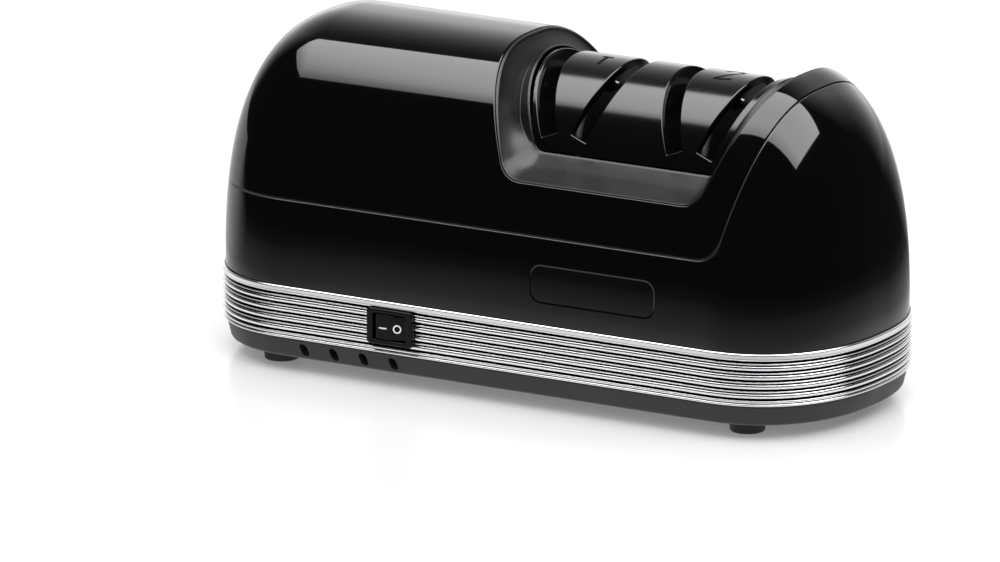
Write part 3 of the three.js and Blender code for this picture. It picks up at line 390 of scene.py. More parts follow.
def look(colour, colourFar, roughness, cloudScale, grain, **more):
    # Two colours and two roughnesses with a cloud between them, and a grain of scale, depth, strength
    plain = {"metallic": 0, "specular": 0.5, "stretch": (1, 1, 1), "recess": None, "paint": 0.004, **more}
    return {
        "colour": (*colour, 1), "colourFar": (*colourFar, 1), "roughness": roughness,
        "cloudScale": cloudScale, "grain": grain, **plain,
    }


def makeFinish(name, settings):
    material = bpy.data.materials.new(name)
    material.use_nodes = True
    tree = material.node_tree
    place = addNode(tree, "TexCoord").outputs["Object"]
    stretched = addNode(tree, "Mapping", {"Vector": place, "Scale": settings["stretch"]}).outputs["Vector"]

    def noise(scale, detail):
        inputs = {"Vector": stretched, "Scale": scale, "Detail": detail}
        return addNode(tree, "TexNoise", inputs).outputs["Fac"]

    cloud = noise(settings["cloudScale"], wander["cloudDetail"])
    colour = mixNode(tree, cloud, settings["colour"], settings["colourFar"])
    if settings["recess"]:  # painted shade or a painted highlight, ramped from a guide attribute towards the paint level
        paintedLightGuide = addNode(tree, "Attribute", attribute_name="recess").outputs["Fac"]
        share = rampNode(tree, paintedLightGuide, *settings["recess"])
        colour = mixNode(tree, share, colour, (*[settings["paint"]] * 3, 1))
    scale, depth, strength = settings["grain"]
    height = noise(scale, wander["grainDetail"])
    relief = addNode(tree, "Bump", {"Height": height, "Distance": depth * millimetre, "Strength": strength})
    feed(tree, tree.nodes["Principled BSDF"], {
        "Base Color": colour,
        "Metallic": settings["metallic"],
        "Roughness": rampNode(tree, cloud, wander["from"], wander["to"], *settings["roughness"]),
        "IOR": 1.5,
        "Specular IOR Level": settings["specular"],
        "Normal": relief.outputs["Normal"],
    })
    return material


glossBlack = ((0.0013, 0.0012, 0.0013), (0.0019, 0.0017, 0.0018), (0.035, 0.06), 45, (220, 0.006, 0.05))
finishes = {
    "glossShell": look(*glossBlack),
    "glossSeam": look(*glossBlack, recess=(0, 1), paint=0.13),  # the same with a painted highlight along the seam edge
    "satinFrame": look(
        (0.0055, 0.0055, 0.0065), (0.0075, 0.0075, 0.009), (0.26, 0.29), 60, (5200, 0.012, 0.25),
        specular=0.36,
    ),
    "satinBarrel": look(
        (0.0022, 0.002, 0.0022), (0.0032, 0.003, 0.0032), (0.13, 0.15), 60, (4200, 0.006, 0.15),
    ),
    # painted shade: the band's grooves, thin lines and inner skin are painted near black by their depth
    "bandMetal": look(
        (0.88, 0.88, 0.88), (0.8, 0.8, 0.81), (0.12, 0.15), 40, (300, 0.0002, 0.02),
        metallic=1, recess=(0.36, 0.5),
    ),
    "baseMatt": look((0.013, 0.013, 0.0135), (0.02, 0.0195, 0.019), (0.42, 0.55), 90, (3600, 0.03, 0.4)),
    "switchBlack": look(
        (0.0016, 0.0016, 0.0017), (0.0024, 0.0024, 0.0025), (0.16, 0.22), 300, (6000, 0.012, 0.25),
        specular=0.16,
    ),
    "markWhite": look((0.93, 0.93, 0.92), (0.88, 0.88, 0.87), (0.4, 0.5), 900, (8000, 0.006, 0.2)),
    "numeralInk": look(
        (0.001, 0.001, 0.001), (0.0014, 0.0014, 0.0014), (0.6, 0.7), 500, (7000, 0.008, 0.2), specular=0.05,
    ),
    "footRubber": look((0.012, 0.012, 0.012), (0.02, 0.02, 0.019), (0.7, 0.85), 200, (2600, 0.04, 0.5)),
    "groundSteel": look(
        (0.62, 0.62, 0.63), (0.5, 0.5, 0.51), (0.16, 0.3), 300, (5200, 0.02, 0.3), metallic=1,
    ),
    # painted shade: the wheel faces are painted near black, and only the rim keeps the steel colour
    "gritSteel": look(
        (0.3, 0.3, 0.31), (0.2, 0.2, 0.21), (0.4, 0.52), 2600, (7000, 0.06, 0.7),
        metallic=0.8, recess=(0.1, 0.5), paint=0.008,
    ),
    "brightMagnet": look(
        (0.86, 0.86, 0.85), (0.78, 0.78, 0.77), (0.08, 0.14), 800, (6000, 0.004, 0.2), metallic=1,
    ),
    "castZinc": look(
        (0.24, 0.245, 0.255), (0.18, 0.185, 0.19), (0.45, 0.6), 200, (1800, 0.05, 0.5), metallic=0.6,
    ),
    "copperWire": look(
        (0.55, 0.2, 0.07), (0.38, 0.12, 0.04), (0.25, 0.4), 400, (1500, 0.12, 0.8),
        metallic=0.9, stretch=(1, 1, 5),
    ),
    "bronze": look((0.42, 0.27, 0.11), (0.33, 0.2, 0.08), (0.3, 0.45), 500, (4200, 0.02, 0.2), metallic=1),
    "carbonBlock": look((0.016, 0.016, 0.016), (0.028, 0.028, 0.027), (0.6, 0.8), 700, (5200, 0.03, 0.2)),
    "boardLaminate": look((0.02, 0.1, 0.035), (0.015, 0.075, 0.03), (0.3, 0.45), 300, (2600, 0.02, 0.2)),
}
finish = {name: makeFinish(name, settings) for name, settings in finishes.items()}
print("finishes", len(finish))


# The housing form


def formSizes(inset):
    return {
        "half": body["halfWidth"] - inset,
        "rise": body["top"] - body["bandTop"],
        "round": body["endRound"] - inset,
    }


def housingValue(points, inset):
    # (end part)^plan + (side part^arch + height part^arch)^(plan / arch) - 1, and its gradient
    sizes = formSizes(inset)
    plan, arch = body["planPower"], body["archPower"]
    x, y, z = points.T
    endPart = np.maximum(np.abs(x) - straightHalf, 0) / sizes["round"]
    sidePart = np.abs(y) / sizes["half"]
    highPart = np.maximum(z - body["bandTop"], 0) / sizes["rise"]
    section = np.maximum(sidePart**arch + highPart**arch, 1e-9)
    value = endPart**plan + section ** (plan / arch) - 1
    scale = section ** (plan / arch - 1)
    gradient = np.stack([
        endPart ** (plan - 1) / sizes["round"] * np.sign(x),
        scale * sidePart ** (arch - 1) / sizes["half"] * np.sign(y),
        scale * highPart ** (arch - 1) / sizes["rise"],
    ], 1) * plan
    return value, gradient


def onHousing(inset):
    def settle(points):
        for _ in range(3):
            value, gradient = housingValue(points, inset)
            size = np.maximum((gradient**2).sum(1), 1e-8)
            points = points - gradient * (value / size)[:, None]
        return points

    return settle


shell = {
    "wall": 2.8, "cellsAcross": 150, "cellsStraight": 126, "cellsEnd": 34,
    "skirt": 0.3,  # runs down into the band's top edge
    "skirtInset": 1.8,
    "skirtBelow": 0.2,  # the wall behind the band stays under its top
    "edgeRadius": 0.35,
    "edgePaint": 0.27,  # reach of the painted highlight beside the seam
    "edgeShare": 1.2,  # it starts past full
    "edgeAbove": 1,  # and only this far over the band
    "seamHeight": 50.7, "seamTurnX": 71.8, "seamLean": 0.28, "seamCorner": 8, "seamGap": 0.14,
}


def housingSurface(inset):
    # Stations along X and angles across: each end shrinks by a power of the cosine
    plan, arch = 2 / body["planPower"], 2 / body["archPower"]
    sizes = formSizes(inset)
    turn = np.linspace(0, quarter, shell["cellsEnd"] + 1)
    endX = straightHalf + sizes["round"] * np.sin(turn) ** plan
    endShare = np.clip(np.cos(turn), 0, 1) ** plan
    middle = np.linspace(-straightHalf, straightHalf, shell["cellsStraight"] + 1)[1:-1]
    x = np.concatenate([-endX[::-1], middle, endX])
    share = np.concatenate([endShare[::-1], np.ones(len(middle)), endShare])[:, None]
    across = np.linspace(0, math.pi, shell["cellsAcross"] + 1)
    cosine, sine = np.cos(across), np.clip(np.sin(across), 0, 1)
    y = -sizes["half"] * share * np.sign(cosine) * np.abs(cosine) ** arch
    z = body["bandTop"] + sizes["rise"] * share * sine**arch
    low = np.full((len(x), 1), body["bandTop"] - shell["skirt"])
    y = np.concatenate([y[:, :1], y, y[:, -1:]], 1)
    z = np.concatenate([low, z, low], 1)
    grid = np.stack([np.broadcast_to(x[:, None], y.shape), y, z], 2)
    return weld(grid.reshape(-1, 3), gridFaces(*y.shape))


def seamOutline(shift):
    # The region above the seam and left of its leaning turn
    level = shell["seamHeight"] + shift
    lean = math.atan(shell["seamLean"])
    reach = shell["seamCorner"] * math.tan((quarter - lean) / 2)
    turnX, far = shell["seamTurnX"] - shift, 2 * body["halfLength"]
    corner = bend(
        (turnX - reach, level),
        (turnX, level),
        (turnX + reach * math.sin(lean), level + reach * math.cos(lean)),
    )
    return [(-far, level), *corner, (turnX + (far - level) * shell["seamLean"], far), (-far, far)]


notch = {
    "centre": 33.8, "half": 31.1, "bottom": 65.5, "lean": 0.4, "corner": 8,
}
barrel = {
    "centre": notch["centre"], "half": 28.8, "bottom": 71.0, "lean": 0.36, "corner": 3.6,
    "radius": 23.8, "axis": middleOf("grinding_spindle")[2], "wall": 2.2, "edgeRadius": 0.4,
    "ends": (-6, 74),  # along X, before its outline cuts it
    "overTurn": 0.01,  # below the level of its axis
    "cellsAlong": 92, "cellsAcross": 96,
}


def troughCorner(sizes, grow=0, steps=16):
    # The rounded corner from a side that leans out to the level floor, measured from the middle
    lean = math.atan(sizes["lean"])
    reach = sizes["corner"] * math.tan((quarter - lean) / 2)
    half, bottom = sizes["half"] + grow, sizes["bottom"] - grow
    start = (half + reach * math.sin(lean), bottom + reach * math.cos(lean))
    return bend(start, (half, bottom), (half - reach, bottom), steps)


def notchOutline(sizes, grow=0):
    # A trough: level floor, rounded corners and sides that lean out
    half, bottom, far = sizes["half"] + grow, sizes["bottom"] - grow, 2 * body["top"]
    top = (half + (far - bottom) * sizes["lean"], far)
    right = np.concatenate([[top], troughCorner(sizes, grow)])
    left = right[::-1] * [-1, 1]
    return np.concatenate([right, left]) + [sizes["centre"], 0]


seamAbove = outlineDistance(seamOutline(shell["seamGap"] / 2))
seamBelow = outlineDistance(seamOutline(-shell["seamGap"] / 2))
notchRoom = outlineDistance(notchOutline(notch, body["gap"]))


def coverDistance(points):
    return np.minimum(seamAbove(points), -notchRoom(points))


def housingDistance(points):
    return -seamBelow(points)


badge = {
    "low": (13.0, 31.9), "high": (53.4, 42.7), "corner": 3.4, "depth": 0.14, "edge": 0.25,
    "levels": [-2.2, -1.6, -1.1, -0.5, 0, 0.5, 1.1, 1.6, 2.2],  # dividing lines, in widths of the edge
}


def badgeDistance(points):
    # Distance in from a rounded rectangle on the front wall
    low, high = np.array(badge["low"]), np.array(badge["high"])
    half, centre = (high - low) / 2, (high + low) / 2
    offset = np.abs(points[:, [0, 2]] - centre) - half + badge["corner"]
    outside = np.linalg.norm(np.maximum(offset, 0), axis=1)
    inside = np.minimum(offset.max(1), 0)
    distance = badge["corner"] - outside - inside
    return np.where(points[:, 1] < 0, distance, farOut)


def sinkBadge(points, normals):
    # The place of the badge lies a little lower, with a soft step round it
    share = np.clip(badgeDistance(points) / badge["edge"] / 2 + 0.5, 0, 1)[:, None]
    depth = badge["depth"] * ease(share)
    slope = badge["depth"] * 6 * share * (1 - share) / (2 * badge["edge"])
    return points - normals * depth, unit(normals + slopeOf(points, badgeDistance) * slope)


def shellForm(distanceOf, withBadge):
    inset = body["shellInset"]
    settle = onHousing(inset)
    points, faces = housingSurface(inset)
    radius = shell["edgeRadius"]
    if withBadge:
        levels = badge["edge"] * np.array(badge["levels"])
        points, faces = splitLevels(points, faces, badgeDistance, levels, settle)
    points, faces = splitLevels(points, faces, distanceOf, [0, *radius * edgeTurns], settle)
    points, faces = compact(points, faces[distanceOf(points[faces].mean(1)) > 0])
    normals = unit(housingValue(points, inset)[1])
    faces = turnOutwards(points, faces, normals)
    inner = points - normals * shell["wall"]
    outer, outerNormals = roundEdge(points, normals, distanceOf, radius)
    if withBadge:
        outer, outerNormals = sinkBadge(outer, outerNormals)
    return walled(outer, faces, outerNormals, inner, normals)


# Profiles carried round the plan outline: the skirt, the band and the base tray

plan = {
    "endCells": 44, "sideCells": 48, "fineHalf": 2.4, "fineCells": 20, "vents": 4,
    "ventStart": -62.4, "ventStep": 9.9,
}
ventX = [plan["ventStart"] + plan["ventStep"] * i for i in range(plan["vents"])]


def planLoop(fineStations):
    # Angles for the rounded ends and shares for the straight sides, as functions of the inset
    turn = np.linspace(0, quarter, plan["endCells"] + 1)
    power = 2 / body["planPower"]
    acrossEnd, alongEnd = np.sin(turn) ** power, np.clip(np.cos(turn), 0, 1) ** power
    even = np.linspace(-straightHalf, straightHalf, plan["sideCells"] + 1)[1:-1]
    fine = [np.linspace(x - plan["fineHalf"], x + plan["fineHalf"], plan["fineCells"] + 1) for x in ventX]
    side = np.unique(np.round(np.concatenate([even, *(fine if fineStations else [])]), 3))[::-1]

    def at(inset):
        endRadius, half = body["endRound"] - inset, body["halfWidth"] - inset
        x, y = straightHalf + endRadius * alongEnd, half * acrossEnd
        right = np.stack([x, y], 1)
        top = np.stack([side, np.full(len(side), half)], 1)
        left = right[::-1] * [-1, 1]
        upper = np.concatenate([right, top, left])
        return np.concatenate([upper, upper[1:-1][::-1] * [1, -1]])

    return at


planAt, ventedPlanAt = planLoop(False), planLoop(True)


def atHeight(ring, z):
    return np.concatenate([ring, np.full((len(ring), 1), z)], 1)


def planForm(profile, loop=planAt):
    return np.array([atHeight(loop(inset), z) for inset, z in profile])


def skirtForm():
    # The lower housing goes on down behind the band as a plain wall
    low, high = boxOf("lower_housing")[0][2], body["bandTop"] - shell["skirtBelow"]
    near, far = shell["skirtInset"], shell["skirtInset"] + shell["wall"]
    return closedForm(planForm([(near, low), (near, high), (far, high), (far, low)]), closeRows=True)


makePiece("upperCover", shellForm(coverDistance, False), "glossShell", ["upper_cover"])
lowerForm = joined([shellForm(housingDistance, True), skirtForm()])
# A painted highlight along the lower housing's edge beside the seam, standing in for the edge catching the
# softbox, kept above the band
seamPaintedHighlight = np.clip(shell["edgeShare"] - housingDistance(lowerForm[0]) / shell["edgePaint"], 0, 1)
seamPaintedHighlight *= lowerForm[0][:, 2] > body["bandTop"] + shell["edgeAbove"]
makePiece("lowerHousing", lowerForm, "glossSeam", ["lower_housing"], recess=seamPaintedHighlight)
print("housing shells")


# The slot frame: a saddle between a rim on the housing and a rim round the barrel

saddle = {
    "sideCells": 60, "cornerCells": 14, "floorCells": 40, "settleRounds": 14, "thick": 1.3,
    "rimThick": 0.6,
    "rimShare": 0.3,  # of the width, over which it thickens
    "lip": [
        (0, -0.5), (0.05, -0.24), (0.16, -0.08), (0.34, 0), (0.86, 0), (1.02, -0.07), (1.12, -0.24),
        (1.18, -0.5), (1.3, -0.62), (1.45, -0.66),
    ],
    "faceCells": 10,
    "sag": 0.35,  # hollow of the floor strip
    "sideSag": 2.7,  # and of the side walls, which fall steeply and rise again in a collar
    "sideFrom": 1,  # height over the floor strip where the side walls begin
    "sideOver": 9,  # and over which they grow hollow
    "collarShare": 0.92, "collarRound": 0.05,
    "innerEdge": [
        (0.95, 0), (0.8, 0.05), (0.64, 0.17), (0.48, 0.25), (0.3, 0.26), (0.14, 0.18), (0.04, 0.04),
        (0, -0.14), (0, -0.5),
    ],
}


def sideAt(sizes, side, z):
    return sizes["centre"] + side * (sizes["half"] + (z - sizes["bottom"]) * sizes["lean"])


def rimHalf(sizes, sidePoints, depthAt):
    # One end of the rim, from the top of its side down round the corner to the middle of the floor
    corner = troughCorner(sizes, steps=saddle["cornerCells"])
    floorX = np.linspace(corner[-1, 0], 0, saddle["floorCells"] + 1)[1:]
    flat = np.concatenate([corner[1:], np.stack([floorX, np.full(len(floorX), sizes["bottom"])], 1)])

    def at(side):
        x = sizes["centre"] + side * flat[:, 0]
        lowPart = np.stack([x, -depthAt(flat[:, 1]), flat[:, 1]], 1)
        return np.concatenate([sidePoints(side, corner[0, 1]), lowPart])

    return at


def rimLoop(at):
    front = np.concatenate([at(-1), at(1)[-2::-1]])
    back = front[1:-1][::-1] * [1, -1, 1]
    return np.concatenate([front, back])


def outerRim():
    sizes = formSizes(body["shellInset"])
    plan, arch = body["planPower"], body["archPower"]

    def depthAt(z):
        return sizes["half"] * (1 - ((z - body["bandTop"]) / sizes["rise"]) ** arch) ** (1 / arch)

    def sidePoints(side, lowest):
        low = math.asin(((lowest - body["bandTop"]) / sizes["rise"]) ** (arch / 2))
        angle = np.linspace(0, quarter - low, saddle["sideCells"] + 1)
        share = np.ones(len(angle))
        for _ in range(saddle["settleRounds"]):  # the share and the place along the body settle together
            z = body["bandTop"] + sizes["rise"] * share * np.cos(angle) ** (2 / arch)
            x = sideAt(notch, side, z)
            part = np.clip((np.abs(x) - straightHalf) / sizes["round"], 0, 1)
            share = (1 - part**plan) ** (1 / plan)
        y = sizes["half"] * share * np.sin(angle) ** (2 / arch)
        return np.stack([x, -y, z], 1)

    return rimLoop(rimHalf(notch, sidePoints, depthAt))


def innerRim():
    sizes = {**barrel, "half": barrel["half"] + body["gap"], "bottom": barrel["bottom"] - body["gap"]}
    radius = barrel["radius"] + body["gap"]

    def depthAt(z):
        return np.sqrt(radius**2 - (z - barrel["axis"]) ** 2)

    def sidePoints(side, lowest):
        low = math.asin((lowest - barrel["axis"]) / radius)
        angle = np.linspace(0, quarter - low, saddle["sideCells"] + 1)
        z = barrel["axis"] + radius * np.cos(angle)
        return np.stack([sideAt(sizes, side, z), -radius * np.sin(angle), z], 1)

    return rimLoop(rimHalf(sizes, sidePoints, depthAt))


def saddleDrops():
    # Shares of the width with the hollow there: side walls fall to the collar's foot and rise again
    cells = np.linspace(0, 1, saddle["faceCells"] + 1)
    peak = saddle["collarShare"]
    corner = fillet([(0, 0), (peak, 1), (1, 0)], saddle["collarRound"], 8)
    fall = np.stack([cells[:-2] * peak, cells[:-2]], 1)
    fall = fall[fall[:, 0] < corner[1, 0]]
    return [(share, drop, math.sin(math.pi * share) ** 2) for share, drop in [*fall[1:], *corner[1:]]]


def sunk(drop, soft, steep):
    return steep * saddle["sideSag"] * drop + (1 - steep) * saddle["sag"] * soft


def saddleForm():
    # Rows run from the outer rim to the inner one, each lifted along the saddle's own normal
    outer, inner = outerRim(), innerRim()
    span = inner - outer
    width = np.linalg.norm(span, axis=1, keepdims=True)
    across = span / width
    along = unit(np.roll(outer + inner, -1, 0) - np.roll(outer + inner, 1, 0))
    rise = unit(np.cross(along, across))
    middle = (outer + inner) / 2 - [notch["centre"], 0, body["bandTop"]]
    if (rise * middle).sum() < 0:
        rise = -rise
    low = inner[:, 2:] - (barrel["bottom"] - body["gap"])
    steep = ease(np.clip((low - saddle["sideFrom"]) / saddle["sideOver"], 0, 1))
    lip, edge = np.array(saddle["lip"]), np.array(saddle["innerEdge"])
    rows = [outer + across * reach + rise * lift for reach, lift in lip]
    start, end = lip[-1], edge[0]
    drops = saddleDrops()
    for share, drop, soft in drops:
        reach = start[0] + (width - end[0] - start[0]) * share
        lift = start[1] + (end[1] - start[1]) * ease(share) - sunk(drop, soft, steep)
        rows.append(outer + across * reach + rise * lift)
    rows += [inner - across * reach + rise * lift for reach, lift in edge[1:]]
    for share, drop, soft in [*drops[::-1], (0, 0, 0)]:
        grown = math.sin(quarter * min(share / saddle["rimShare"], 1))
        thick = saddle["rimThick"] + (saddle["thick"] - saddle["rimThick"]) * grown
        rows.append(outer + span * share - rise * (thick + sunk(drop, soft, steep)))
    return closedForm(np.array(rows), closeRows=True)


makePiece("slotFrame", saddleForm(), "satinFrame", ["slot_frame"])
print("slot frame")


# The slot barrel: a half-round bridge with four leaning slots and a guide wall beside each

slots = {
    "width": 5.4, "lean": math.radians(21), "bottom": 75.7, "offset": 4.8, "pitch": 41,
    "centre": 33.3, "guideThick": 1.6, "guideBottom": 73.2, "padThick": 1.4,
    "padUp": 10.1,  # along the slot from its foot
    "padReach": 7.5, "guideCells": 48, "padCells": 24,
}
stageCentres = [slots["centre"] - slots["pitch"] / 2, slots["centre"] + slots["pitch"] / 2]
slotPlaces = [(centre + side * slots["offset"], side) for centre in stageCentres for side in (-1, 1)]


def slabPoint(place, across, up, y=0):
    # A point of a leaning slab: across its thickness and up along it
    centre, side = place
    turn = slots["lean"] * side
    x = centre + across * np.cos(turn) + up * np.sin(turn)
    z = slots["bottom"] - across * np.sin(turn) + up * np.cos(turn)
    return np.stack(np.broadcast_arrays(x, y, z), -1)


def slotDistance(place):
    half, far = slots["width"] / 2, body["top"]
    corners = slabPoint(place, np.array([-half, half, half, -half]), np.array([0, 0, far, far]))
    return outlineDistance(corners[:, [0, 2]])


barrelInside = outlineDistance(notchOutline(barrel))
slotInside = [slotDistance(place) for place in slotPlaces]


def barrelDistance(points):
    return np.minimum.reduce([barrelInside(points), *[-inside(points) for inside in slotInside]])


def onBarrel(points):
    # Back on to the cylinder about the drive axis
    offset = points[:, 1:] - [0, barrel["axis"]]
    return np.concatenate([points[:, :1], [0, barrel["axis"]] + unit(offset) * barrel["radius"]], 1)


def barrelShell():
    x = np.linspace(*barrel["ends"], barrel["cellsAlong"] + 1)
    angle = np.linspace(-barrel["overTurn"], math.pi + barrel["overTurn"], barrel["cellsAcross"] + 1)
    y, z = -barrel["radius"] * np.cos(angle), barrel["axis"] + barrel["radius"] * np.sin(angle)
    grid = np.stack(np.broadcast_arrays(x[:, None], y, z), 2)
    points, faces = weld(grid.reshape(-1, 3), gridFaces(*grid.shape[:2]))
    radius = barrel["edgeRadius"]
    points, faces = splitLevels(points, faces, barrelDistance, [0, *radius * edgeTurns], onBarrel)
    points, faces = compact(points, faces[barrelDistance(points[faces].mean(1)) > 0])
    normals = unit((points - [0, 0, barrel["axis"]]) * [0, 1, 1])
    faces = turnOutwards(points, faces, normals)
    inner = points - normals * barrel["wall"]
    outer, outerNormals = roundEdge(points, normals, barrelDistance, radius)
    return walled(outer, faces, outerNormals, inner, normals)


innerArch = barrel["radius"] - barrel["wall"] / 2


def slabForm(place, side, thick, y, z, footY=()):
    # A leaning slab on one side of its slot, with its edge along y and z and then along its foot
    turn = slots["lean"] * place[1]
    near = slots["width"] / 2 * side
    rings = []
    for across in (near, near + thick * side):
        up = (z - slots["bottom"] + across * math.sin(turn)) / math.cos(turn)
        up = np.concatenate([up, np.full(len(footY), slots["padUp"])])
        rings.append(slabPoint(place, across, up, np.concatenate([y, footY])))
    return closedForm(np.array(rings), capEnds=True)


def guideWall(place):
    # A leaning half disc that fills the arch under the barrel beside its slot
    low = math.asin((slots["guideBottom"] - barrel["axis"]) / innerArch)
    angle = np.linspace(low, math.pi - low, slots["guideCells"])
    z = barrel["axis"] + innerArch * np.sin(angle)
    return slabForm(place, place[1], slots["guideThick"], -innerArch * np.cos(angle), z)


def guidePad(place):
    # A pad over the wheel on the slot's inner wall
    y = np.linspace(-slots["padReach"], slots["padReach"], slots["padCells"])
    z = barrel["axis"] + np.sqrt(innerArch**2 - y**2)
    return slabForm(place, -place[1], slots["padThick"], y, z, y[::-1])


barrelParts = [barrelShell(), *[wall(place) for place in slotPlaces for wall in (guideWall, guidePad)]]
makePiece("slotBarrel", joined(barrelParts), "satinBarrel", ["slot_barrel"])
print("slot barrel")


# Stage numerals, laid on the barrel as thin strokes

numerals = {
    "width": 1.3, "lift": 0.04, "round": 1.2, "roundSteps": 4, "cells": 3,
    "one": [[(14.2, -6.3), (14.2, 0)], [(12.6, -0.4), (15.9, -0.4)]],
    "two": [[(56.6, -4.2), (51.2, -5.2), (57.0, 2.4), (56.2, 4.3), (53.3, 4.7), (51.6, 2.2)]],
}
stroke = {"cells": 5, "root": -2.0}  # the root lies this many lifts under the surface


def strokeForm(path, width, place):
    # A ribbon along a path, with a low rounded section, set on a surface by place(u, v, lift)
    path = np.asarray(path, float)
    ahead = unit(np.gradient(path, axis=0))
    side = np.stack([-ahead[:, 1], ahead[:, 0]], 1) * width / 2
    rows = []
    for angle in np.linspace(0, math.pi, stroke["cells"] + 1):
        flat = path + side * math.cos(angle)
        rows.append(place(flat[:, 0], flat[:, 1], math.sin(angle)))
    rows.append(place(path[:, 0], path[:, 1], stroke["root"]))
    return closedForm(np.array(rows).transpose(1, 0, 2), capEnds=True)


def onBarrelTop(u, v, lift):
    radius = barrel["radius"] + numerals["lift"] * lift
    angle = v / barrel["radius"]
    return np.stack([u, radius * np.sin(angle), barrel["axis"] + radius * np.cos(angle)], 1)


def denser(path, cells):
    # Straight stretches get points of their own, so that they follow the curved surface
    path = np.asarray(path, float)
    share = np.arange(cells)[:, None] / cells
    parts = [start + (end - start) * share for start, end in zip(path, path[1:])]
    return np.concatenate([*parts, path[-1:]])


def numeralForm(path):
    line = denser(fillet(path, numerals["round"], numerals["roundSteps"]), numerals["cells"])
    return strokeForm(line, numerals["width"], onBarrelTop)


numeralForms = [numeralForm(path) for path in numerals["one"] + numerals["two"]]
makePiece("stageNumerals", joined(numeralForms), "numeralInk")
print("numerals")


# The ribbed band

band = {
    "ribs": 5, "lip": 1.7, "back": 1.4, "groove": 0.72,
    "grooveTop": 0.72,  # from the start of each pitch up
    "grooveEnds": (0.06, 0.08),  # its floor stops short of the ribs
    "ribTop": 1.85, "beadLow": 2.33, "ribRise": 0.3, "beadRise": 0.16, "bulgePower": 0.8,
    "thin": 0.7,  # depth of the thin line between rib and bead
    "clear": 0.05,  # between that line's floor and its neighbours
    "lipRib": 0.7, "lipLine": (0.8, 0.9), "lipBead": 1,
    "topStart": [(0.3, 0), (0.12, 0.12), (0.02, 0.3)],  # inset and height of the flat top rib's lower edge
    "topFlat": (0.5, 0.25), "topInset": 0.05, "topEnd": [(0.12, -0.1), (0.3, 0)], "ribCells": 12,
    "beadCells": 8, "holeX": 6.7, "holeZ": 4.35, "holeGland": 4.5,
}
switchCentre, glandCentre = middleOf("switch_frame"), middleOf("cord_gland") * [1, 0, 1]


def bulge(low, high, rise, cells):
    # A round rib between two heights: the inset falls by the rise along a half ellipse
    turn = np.linspace(0, math.pi, cells + 1)
    middle, half = (low + high) / 2, (high - low) / 2
    inset = band["ribRise"] - rise * np.sin(turn) ** band["bulgePower"]
    return np.stack([inset, middle - half * np.cos(turn)], 1)


def bandProfile():
    # From the bottom up: a lip, a bead, then five pitches of groove, rib, thin line and bead
    low, high = body["bandLow"], body["bandTop"]
    pitch = (high - low - band["lip"]) / band["ribs"]
    groove, thin, clear, cells = band["groove"], band["thin"], band["clear"], band["beadCells"]
    parts = [
        bulge(low, low + band["lipRib"], band["ribRise"], cells),
        [(thin, low + up) for up in band["lipLine"]],
        bulge(low + band["lipBead"], low + band["lip"] - clear, band["beadRise"], cells),
    ]
    for i in range(band["ribs"]):
        start = low + band["lip"] + i * pitch
        rib = start + band["grooveTop"]
        parts.append([(groove, start + band["grooveEnds"][0]), (groove, rib - band["grooveEnds"][1])])
        if i == band["ribs"] - 1:
            flat = np.linspace(rib + band["topFlat"][0], high - band["topFlat"][1], cells)
            parts.append([(inset, rib + up) for inset, up in band["topStart"]])
            parts.append([(band["topInset"], z) for z in flat])
            parts.append([(inset, high + up) for inset, up in band["topEnd"]])
            continue
        ribTop, bead = start + band["ribTop"], start + band["beadLow"]
        parts.append(bulge(rib, ribTop, band["ribRise"], band["ribCells"]))
        parts.append([(thin, ribTop + clear), (thin, bead - clear)])
        parts.append(bulge(bead, start + pitch, band["beadRise"], cells))
    return np.concatenate([np.array(part, float) for part in parts])


def bandHole(points):
    # Distance in from the openings for the switch in front and the cord gland behind
    x, y, z = points[:, :3].T
    front = np.minimum(
        band["holeX"] - np.abs(x - switchCentre[0]),
        band["holeZ"] - np.abs(z - switchCentre[2]),
    )
    rear = band["holeGland"] - np.hypot(x - glandCentre[0], z - glandCentre[2])
    return np.where(y < 0, front, rear)


def bandForm():
    # The outer and the inner skin with the outer's normals and depth, cut by the openings together
    profile = bandProfile()
    outer = planForm(profile)
    inner = planForm([(band["back"], z) for z in profile[:, 1]])
    rows, columns = outer.shape[:2]
    normals = gridNormals(outer).reshape(-1, 3)
    depth = np.repeat(profile[:, 0], columns)[:, None]
    points = np.concatenate([outer.reshape(-1, 3), inner.reshape(-1, 3), normals, depth], 1)
    faces = gridFaces(rows, columns, closeColumns=True)
    points, faces = splitAlong(points, faces, bandHole(points))
    points, faces = compact(points, faces[bandHole(points[faces].mean(1)) < 0])
    flat = points[:, :3] * [1, 1, 0]
    normals = turnTowards(unit(points[:, 6:9]), flat)
    faces = turnOutwards(points[:, :3], faces, normals)
    form = walled(points[:, :3], faces, normals, points[:, 3:6], unit(flat))
    return form, np.concatenate([points[:, 9], np.ones(len(points))])


# the depth of each outer point guides the painted shade in the grooves, and the inner skin is painted
# throughout
form, recess = bandForm()
makePiece("trimBand", form, "bandMetal", ["trim_band"], recess=recess)
print("band")


# The base tray, with vents in its walls and tubes over its screws

base = {
    "low": 4.0, "top": body["bandLow"] - body["gap"], "topInset": 1.0,
    "topRound": [(0.1, -0.08), (0.3, 0)],  # inset and height of its top edge's corners
    "topStraight": 0.3,  # the wall runs straight up to this far below the top
    "wallCells": 12, "footInset": 2.1, "edge": 1.2, "wall": 2.6, "floor": 2.4,
    "underside": 0.01,  # what lies no higher than this over the low level
    "ventWidth": 2.6, "ventLean": 0.3, "ventLow": 5.0, "ventHigh": 8.7, "wellRadius": 3.0,
    "wellWall": 1.1, "wellLip": 0.15, "wellFoot": 0.45, "wellShoulder": 1.8, "wellBore": 1.8,
    "wellSeat": 6.6, "wellSides": 40, "floorCells": 16,
    "wellPlaces": [(88 * i, 30.6 * j) for i in (-1, 1) for j in (-1, 1)],
    "wellTop": boxOf("base_tray")[1][2],
}


